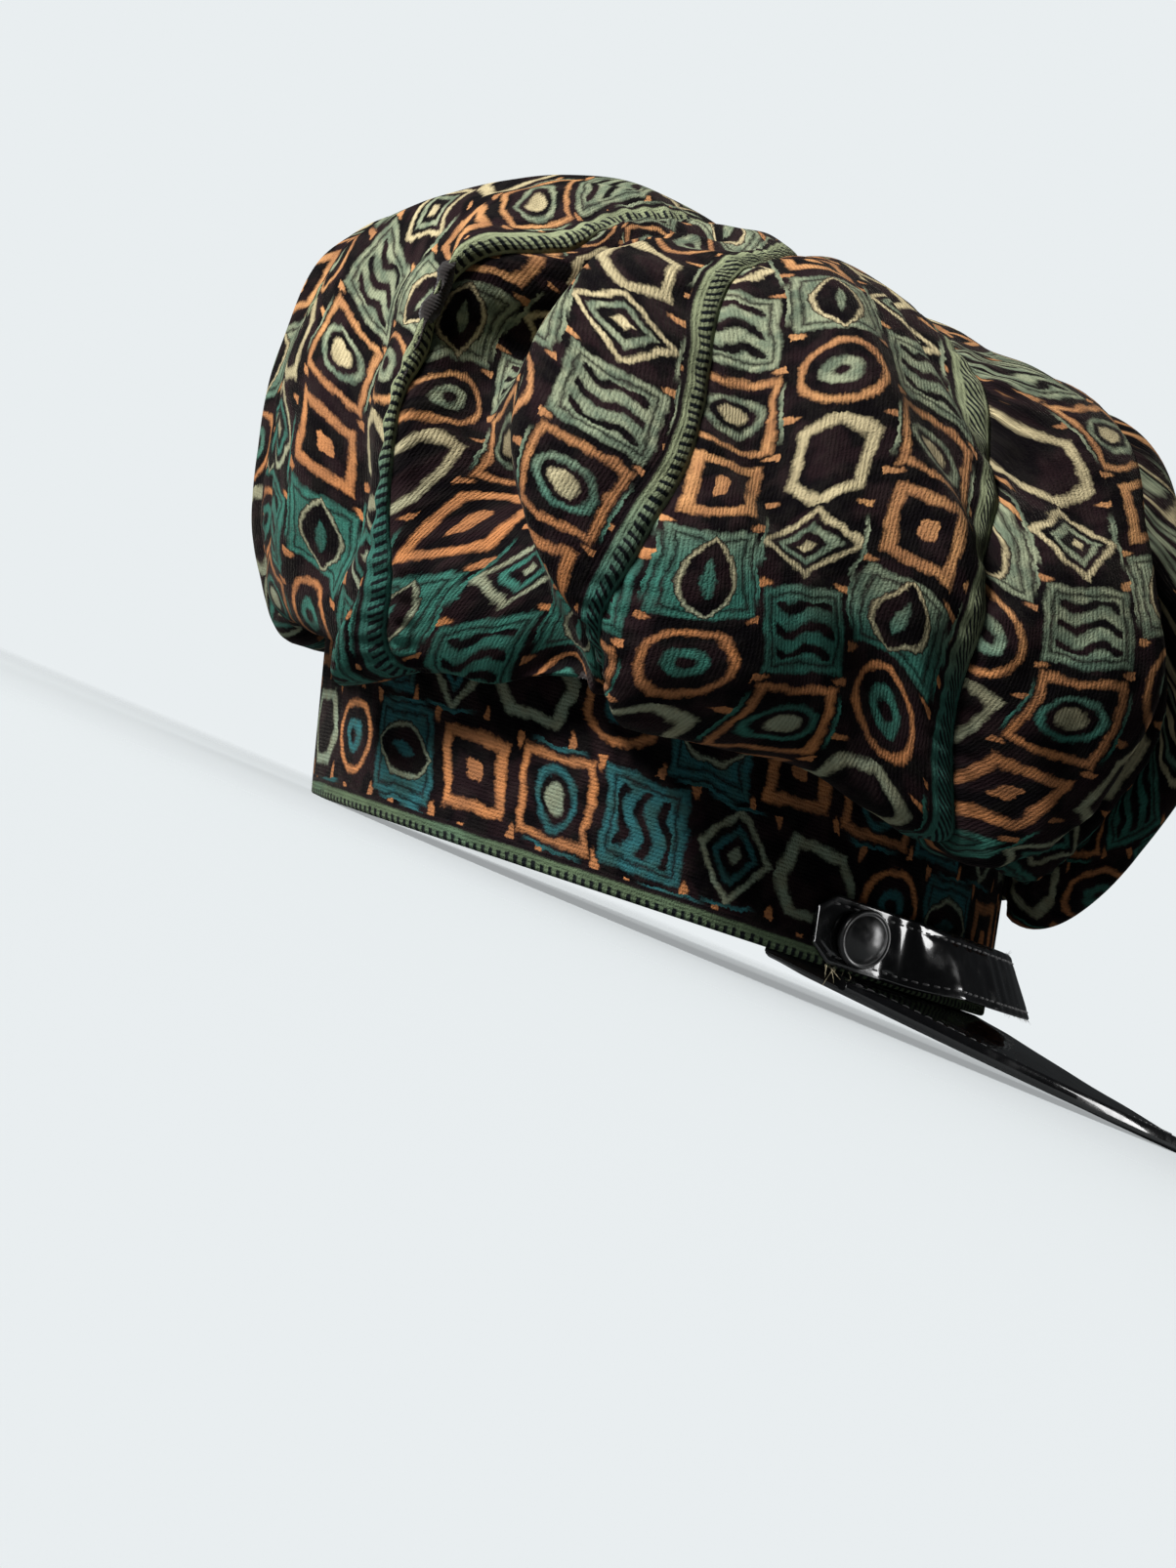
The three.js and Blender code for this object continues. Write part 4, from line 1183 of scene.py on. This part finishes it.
def strap_surface(way, across, depth):
    """A point of the strap: its way along the rim, its place across, -1 at the lower edge and 1 at
    the upper, and its depth from the inner face. Creases and stitch dents are part of it."""
    angle = rim_angle(way)
    from_end = TAB_WAY - np.abs(way)
    width = TAB_END_WIDTH + (STRAP_WIDTH - TAB_END_WIDTH) * clamp(from_end / TAB_CUT, 0, 1)
    lower = (1 - across) / 2
    bow = strap_bow(way)
    tipped = np.sqrt(width ** 2 - (bow * (1 - STRAP_UPPER_BOW)) ** 2)
    z = STRAP_MIDDLE + width / 2 - lower * tipped
    bow = bow * (STRAP_UPPER_BOW + (1 - STRAP_UPPER_BOW) * lower)
    bent = smooth((BUTTON_WAY - np.abs(way) - 4) / 10)
    crease = (0.42 * bent * ripple(way, across * 3.5, 9, 5, 16, 41)
              + 0.25 * ripple(way, across * 8, 7, 14, 40, 42))
    stitched = 0.22 * bump((1 - np.abs(across)) * width / 2 - STITCH_INSET, 0.6)
    face = np.where(depth > STRAP_THICKNESS / 2, crease - stitched, crease * 0.8)
    still = smooth((from_end - 0.5) / 3)
    lift = SEAT_GAP + bow + depth + face * still * 0.8
    return band_point(angle, z, 0) + rim_outward(angle) * lift[..., None]


def strap_loop():
    """The section: across the outer face, round the upper edge, back along the inner face and
    round the lower edge, as pairs of place across and depth."""
    middle = STRAP_THICKNESS / 2
    round_off = 2 * middle / STRAP_WIDTH
    turn = np.linspace(math.pi / 2, -math.pi / 2, 9)[1:-1]
    flat = np.linspace(-1 + round_off, 1 - round_off, STRAP_MARKS)
    outer = np.stack([flat, np.full(STRAP_MARKS, STRAP_THICKNESS)], axis=-1)
    upper = [1 - round_off, middle] + np.stack([np.cos(turn), np.sin(turn)], axis=-1) * [
        round_off, middle]
    inner = np.stack([flat[::-1], np.zeros(STRAP_MARKS)], axis=-1)
    lower = upper[::-1] * [-1, 1]
    return np.concatenate([outer, upper, inner, lower]), STRAP_MARKS + len(turn)


strap_section, back_start = strap_loop()
way = np.linspace(-TAB_WAY, TAB_WAY, STRAP_SECTIONS + 1)[:, None]
strap_grid = carried(strap_surface, way, strap_section)
strap_marks = np.tile(np.arange(len(strap_section)), STRAP_SECTIONS)
strap_inside = (strap_marks >= back_start) & (strap_marks < back_start + STRAP_MARKS - 1)
strap = lofted("strap_patent", on_table(strap_grid), [patent, strap_back], strap_inside)
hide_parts("strap")

# %% [markdown]
# The buttons. A button is round, so its profile is drawn once and turned about its axis: a flat
# back, a rounded rim, a fine groove inside the rim, and a low dome.

# %% The buttons
# Pairs of radius and height: the back, the rim, the groove and the dome
BUTTON_PROFILE = [
    (0, 0), (0.72, 0), (0.88, 0.05), (0.96, 0.16), (1, 0.32), (1, 0.44), (0.975, 0.54),
    (0.93, 0.60), (0.885, 0.59), (0.855, 0.555), (0.83, 0.555), (0.79, 0.61), (0.72, 0.70),
    (0.60, 0.81), (0.46, 0.89), (0.30, 0.95), (0.14, 0.985), (0, 1)]

for side, label in ((-1, "right"), (1, "left")):
    angle = np.array(side * BUTTON_ANGLE)
    outward = rim_outward(angle)
    place = band_point(angle, STRAP_MIDDLE, 0) + outward * (1.5 * SEAT_GAP + STRAP_THICKNESS)
    axis = on_table(place + outward) - on_table(place)
    profile = [(r * BUTTON_RADIUS, h * BUTTON_HEIGHT) for r, h in BUTTON_PROFILE]
    button = turned_piece(f"button_{label}", profile, 72, on_table(place), axis, button_black)
    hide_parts(f"strap_button_{label}")

# %% [markdown]
# Stitches. A machine stitch is a short bit of thread that dives into the cloth at both ends. It is
# repeated hundreds of times, so each has only a few faces: a six-sided tube of five rings that
# sinks at its ends. All the stitches of a line are worked out at once, as one array.

# %% Stitches
def many_tubes(name, centre, radii, first, second, sides, material):
    """Thin closed tubes in one mesh: rings of points round each tube's centre line, in the plane
    of two directions across it."""
    turn = angles_round(sides)
    tubes = centre[:, :, None] + radii[:, None, None] * (
        np.cos(turn) * first[:, :, None] + np.sin(turn) * second[:, :, None])
    count, rings = centre.shape[:2]
    size = rings * sides
    low = np.array([[0, k, k + 1, k + 2] for k in range(1, sides - 2, 2)])
    one = np.concatenate([quads(rings, sides, rows_join=True), low, low[:, ::-1] + size - sides])
    faces = (one[None] + (np.arange(count) * size)[:, None, None]).reshape(-1, 4)
    return new_piece(name, on_table(tubes.reshape(-1, 3)), faces.tolist(), [material])


def stitches(name, line, outward, pitch, length, radius, material):
    """Tubes along a line of points. line and outward hold the path's points and the direction out
    of the surface at each. A stitch covers length out of each pitch, in mm."""
    way = way_along(line)
    starts = np.arange(pitch / 2, way[-1] - length, pitch)[:, None]
    rings = np.array([0.0, 0.22, 0.5, 0.78, 1.0])
    at = starts + length * rings
    centre = np.stack([np.interp(at, way, line[:, k]) for k in range(3)], axis=-1)
    out = unit(np.stack([np.interp(at, way, outward[:, k]) for k in range(3)], axis=-1))
    forward = unit(np.gradient(centre, axis=1))
    side = unit(np.cross(forward, out))
    centre = centre + out * radius * np.array([-1.2, 0.1, 0.35, 0.1, -1.2])[:, None]
    radii = radius * np.array([0.5, 1.0, 1.0, 1.0, 0.5])
    return many_tubes(name, centre, radii, side, out, 6, material)


stitch_way = np.linspace(-TAB_WAY + 3, TAB_WAY - 3, 400)
for edge, label in ((-1, "lower"), (1, "upper")):
    across = edge * (1 - 2 * STITCH_INSET / STRAP_WIDTH)
    line = strap_surface(stitch_way, across + 0 * stitch_way, STRAP_THICKNESS + 0 * stitch_way)
    sewn = stitches(f"strap_stitches_{label}", line, rim_outward(rim_angle(stitch_way)),
                    pitch=2.9, length=2.3, radius=0.26, material=black_thread)

binding_line = peak_points[6:-6, len(BEAD_TURN) + 3]
binding_out = np.tile([[0.0, 0.0, 1.0]], (len(binding_line), 1))
sewn = stitches("peak_stitches", binding_line, binding_out,
                pitch=3.2, length=2.5, radius=0.25, material=black_thread)

# %% [markdown]
# Frayed fibres. Where the patent is cut and bends most, at the front of the strap, its backing
# frays, and a few ends of cream thread stick out below the near button. Hair particles would do
# for many more. For a few dozen, thin bent tubes are enough: each starts at its root, sets off in a
# direction of its own and curves over.

# %% Frayed fibres
def fibres(name, roots, outward, shortest, longest, radius, material, seed):
    """Bent thin tubes. A fibre goes its way times the share along it, plus its bend times the
    share squared, and thins towards its tip."""
    draw = np.random.default_rng(seed)
    count = len(roots)
    length = draw.uniform(shortest, longest, (count, 1, 1))
    ways = unit(outward + draw.normal(0, 0.45, (count, 3)))[:, None]
    bends = draw.normal(0, 0.30, (count, 1, 3)) - [0, 0, 0.25]
    along = np.linspace(0, 1, 5)[:, None]
    path = roots[:, None] + length * (along * ways + along ** 2 * bends)
    forward = unit(np.gradient(path, axis=1))
    side = unit(np.cross(forward, [0.31, 0.52, 0.79]))
    radii = radius * np.array([1, 1, 0.9, 0.7, 0.4])
    return many_tubes(name, path, radii, side, np.cross(side, forward), 4, material)


draw = np.random.default_rng(12)
fray_way = np.concatenate([draw.normal(-6, 1.2, 36), draw.uniform(-16, 16, 44)])
fray_across = np.concatenate([draw.uniform(-1, 1, 36), draw.choice([-1.0, 1.0], 44)])
fray_roots = strap_surface(fray_way, fray_across, np.full(80, STRAP_THICKNESS * 0.8))
fray_out = rim_outward(rim_angle(fray_way)) * 0.8 + fray_across[:, None] * [0, 0, 0.6]
fray = fibres("strap_frayed_edge", fray_roots, fray_out, shortest=0.5, longest=1.5,
              radius=0.055, material=pale_thread, seed=4)

end_angle = np.radians(draw.uniform(-63.5, -58.5, 9))
end_roots = band_point(end_angle, draw.uniform(0.2, 0.8, 9), np.full(9, 0.6))
end_out = rim_outward(end_angle) * 0.6 - [0, 0, 0.7]
ends = fibres("hem_thread_ends", end_roots, end_out, shortest=1.8, longest=4.2,
              radius=0.13, material=cream_thread, seed=6)

# %% [markdown]
# The floor, the light and the camera. The floor is a wide plain disc that fades out far from the
# cap, so no edge or horizon shows. A large soft light stands at the upper left, as a window would,
# and the world gives a dim even light. The camera looks at the cap's right side from a little above
# the floor, turned on its axis so that the cap dips to the front.

# %% The floor
FLOOR_SHARE = 0.6
FADE_START = 160.0
FADE_END = 760.0
FLOOR_RADIUS = 4.0
FLOOR_SIDES = 96


def floor_material():
    material, tree, shader = new_material(
        "floor", Base_Color="#a1a5a6", Roughness=0.9, Specular_IOR_Level=0.0)
    x, y, _ = object_place(tree).split()
    far = (x.square() + y.square()).root()
    feed(tree, shader.inputs["Alpha"], far.between(FADE_START, FADE_END, FLOOR_SHARE, 0.0))
    return material


rim = angles_round(FLOOR_SIDES)
floor_points = FLOOR_RADIUS * np.concatenate([np.cos(rim), np.sin(rim), 0 * rim], axis=1)
floor_mesh = bpy.data.meshes.new("floor")
floor_mesh.from_pydata(floor_points.tolist(), [], [list(range(FLOOR_SIDES))])
floor_mesh.materials.append(floor_material())
floor = bpy.data.objects.new("floor", floor_mesh)
bpy.context.scene.collection.objects.link(floor)

# %% The light
def studio_world():
    """The camera sees a pale backdrop, and everything else is lit by a dim even light."""
    world = bpy.data.worlds.new("studio")
    world.use_nodes = True
    sky = world.node_tree
    backdrop = sky.nodes["Background"]
    fill = sky.nodes.new("ShaderNodeBackground")
    for light, colour, strength in ((backdrop, "#e9eef0", 1.0), (fill, "#dfe6ea", 0.03)):
        feed(sky, light.inputs["Color"], colour)
        feed(sky, light.inputs["Strength"], strength)
    seen = sky.nodes.new("ShaderNodeLightPath")
    either = sky.nodes.new("ShaderNodeMixShader")
    sky.links.new(seen.outputs["Is Camera Ray"], either.inputs[0])
    sky.links.new(fill.outputs[0], either.inputs[1])
    sky.links.new(backdrop.outputs[0], either.inputs[2])
    sky.links.new(either.outputs[0], sky.nodes["World Output"].inputs["Surface"])
    return world


def set_axes(thing, place, right, up, back):
    """Gives a light or camera its place and its three axes, as one matrix."""
    matrix = np.eye(4)
    matrix[:3] = np.stack([right, up, back, place], axis=-1)
    thing.matrix_world = Matrix(matrix.tolist())


def soft_light(name, place, target, size, watts):
    """A square or oblong light at a place, in metres, that faces its target."""
    lamp = bpy.data.lights.new(name, "AREA")
    lamp.shape = "RECTANGLE"
    lamp.size, lamp.size_y = size
    lamp.energy = watts
    light = bpy.data.objects.new(name, lamp)
    bpy.context.scene.collection.objects.link(light)
    back = unit(np.array(place, float) - target)
    right = unit(np.cross((0, 0, 1), back))
    set_axes(light, place, right, np.cross(back, right), back)
    return light


bpy.context.scene.world = studio_world()
bpy.context.scene.view_settings.view_transform = "Standard"
soft_light("window", (-1.0, -0.72, 0.78), (0, 0, 0.08), (0.34, 0.34), 50)
soft_light("top_light", (-0.3, 0.2, 1.3), (0, 0, 0.1), (0.5, 0.5), 2)
wall_light = soft_light("wall_light", (0.75, 1.05, 0.62), (0, 0, 0.08), (0.9, 0.7), 17)
wall_light.visible_glossy = False

# A card that only the patent and the buttons reflect, as a photographer would hold one
card = soft_light("card", (0.98, -0.21, 0.32), (0.08, -0.06, 0.02), (0.36, 0.7), 8)
glossy = bpy.data.collections.new("glossy_pieces")
for piece in bpy.context.scene.objects:
    if piece.name.startswith(("strap_", "button_", "peak_")) and piece.type == "MESH":
        glossy.objects.link(piece)
card.light_linking.receiver_collection = glossy

# %% The camera
CAMERA_AZIMUTH = math.radians(-4.5)
CAMERA_ELEVATION = math.radians(-4.0)
CAMERA_ROLL = math.radians(18.3)
CAMERA_DISTANCE = 762
FOCAL_PIXELS = 2861
RIM_CENTRE_PIXEL = np.array([662.0, 926.5])
PICTURE = np.array([1204, 1606])
CAMERA_HEIGHT = 9
SENSOR = 36


def turned_about(vector, axis, angle):
    """Rodrigues' formula: a vector turned about an axis."""
    return (vector * math.cos(angle) + np.cross(axis, vector) * math.sin(angle)
            + axis * (axis @ vector) * (1 - math.cos(angle)))


def camera_axes():
    """The camera's right, up and back: first round the level cap, then tipped with it, and
    last climbed or sunk to its height above the table. The aim that puts the rim's middle on
    its pixel is added after."""
    level = math.cos(CAMERA_ELEVATION)
    back = np.array([math.sin(CAMERA_AZIMUTH) * level, -math.cos(CAMERA_AZIMUTH) * level,
                     math.sin(CAMERA_ELEVATION)])
    right = unit(np.cross([0, 0, 1], back))
    up = np.cross(back, right)
    axes = [turned_about(axis, back, CAMERA_ROLL) for axis in (right, up, back)]
    axes = [turned_about(axis, np.array([0, 1, 0]), -REST_TILT) for axis in axes]
    wanted = math.asin((CAMERA_HEIGHT - rim_centre[2]) / CAMERA_DISTANCE)
    hinge = unit(np.cross([0, 0, 1], axes[2]))
    climb = math.asin(axes[2][2]) - wanted
    return [turned_about(axis, hinge, climb) for axis in axes]


rim_centre = on_table(np.zeros(3))
right, up, back = camera_axes()
eye = rim_centre + back * CAMERA_DISTANCE
offset = (PICTURE / 2 - RIM_CENTRE_PIXEL) / FOCAL_PIXELS
back = unit(back - right * offset[0] + up * offset[1])
right = unit(right - back * (right @ back))
up = np.cross(back, right)

lens = bpy.data.cameras.new("camera")
lens.sensor_width = SENSOR
lens.lens = FOCAL_PIXELS / PICTURE.max() * SENSOR
lens.clip_start = 0.02
camera = bpy.data.objects.new("camera", lens)
bpy.context.scene.collection.objects.link(camera)
set_axes(camera, eye * MM, right, up, back)
bpy.context.scene.camera = camera
print("camera at mm", eye.round(1), "lens", round(lens.lens, 2))

# %% [markdown]
# Last, the scene is brought up to date.

# %% The end
bpy.context.view_layer.update()
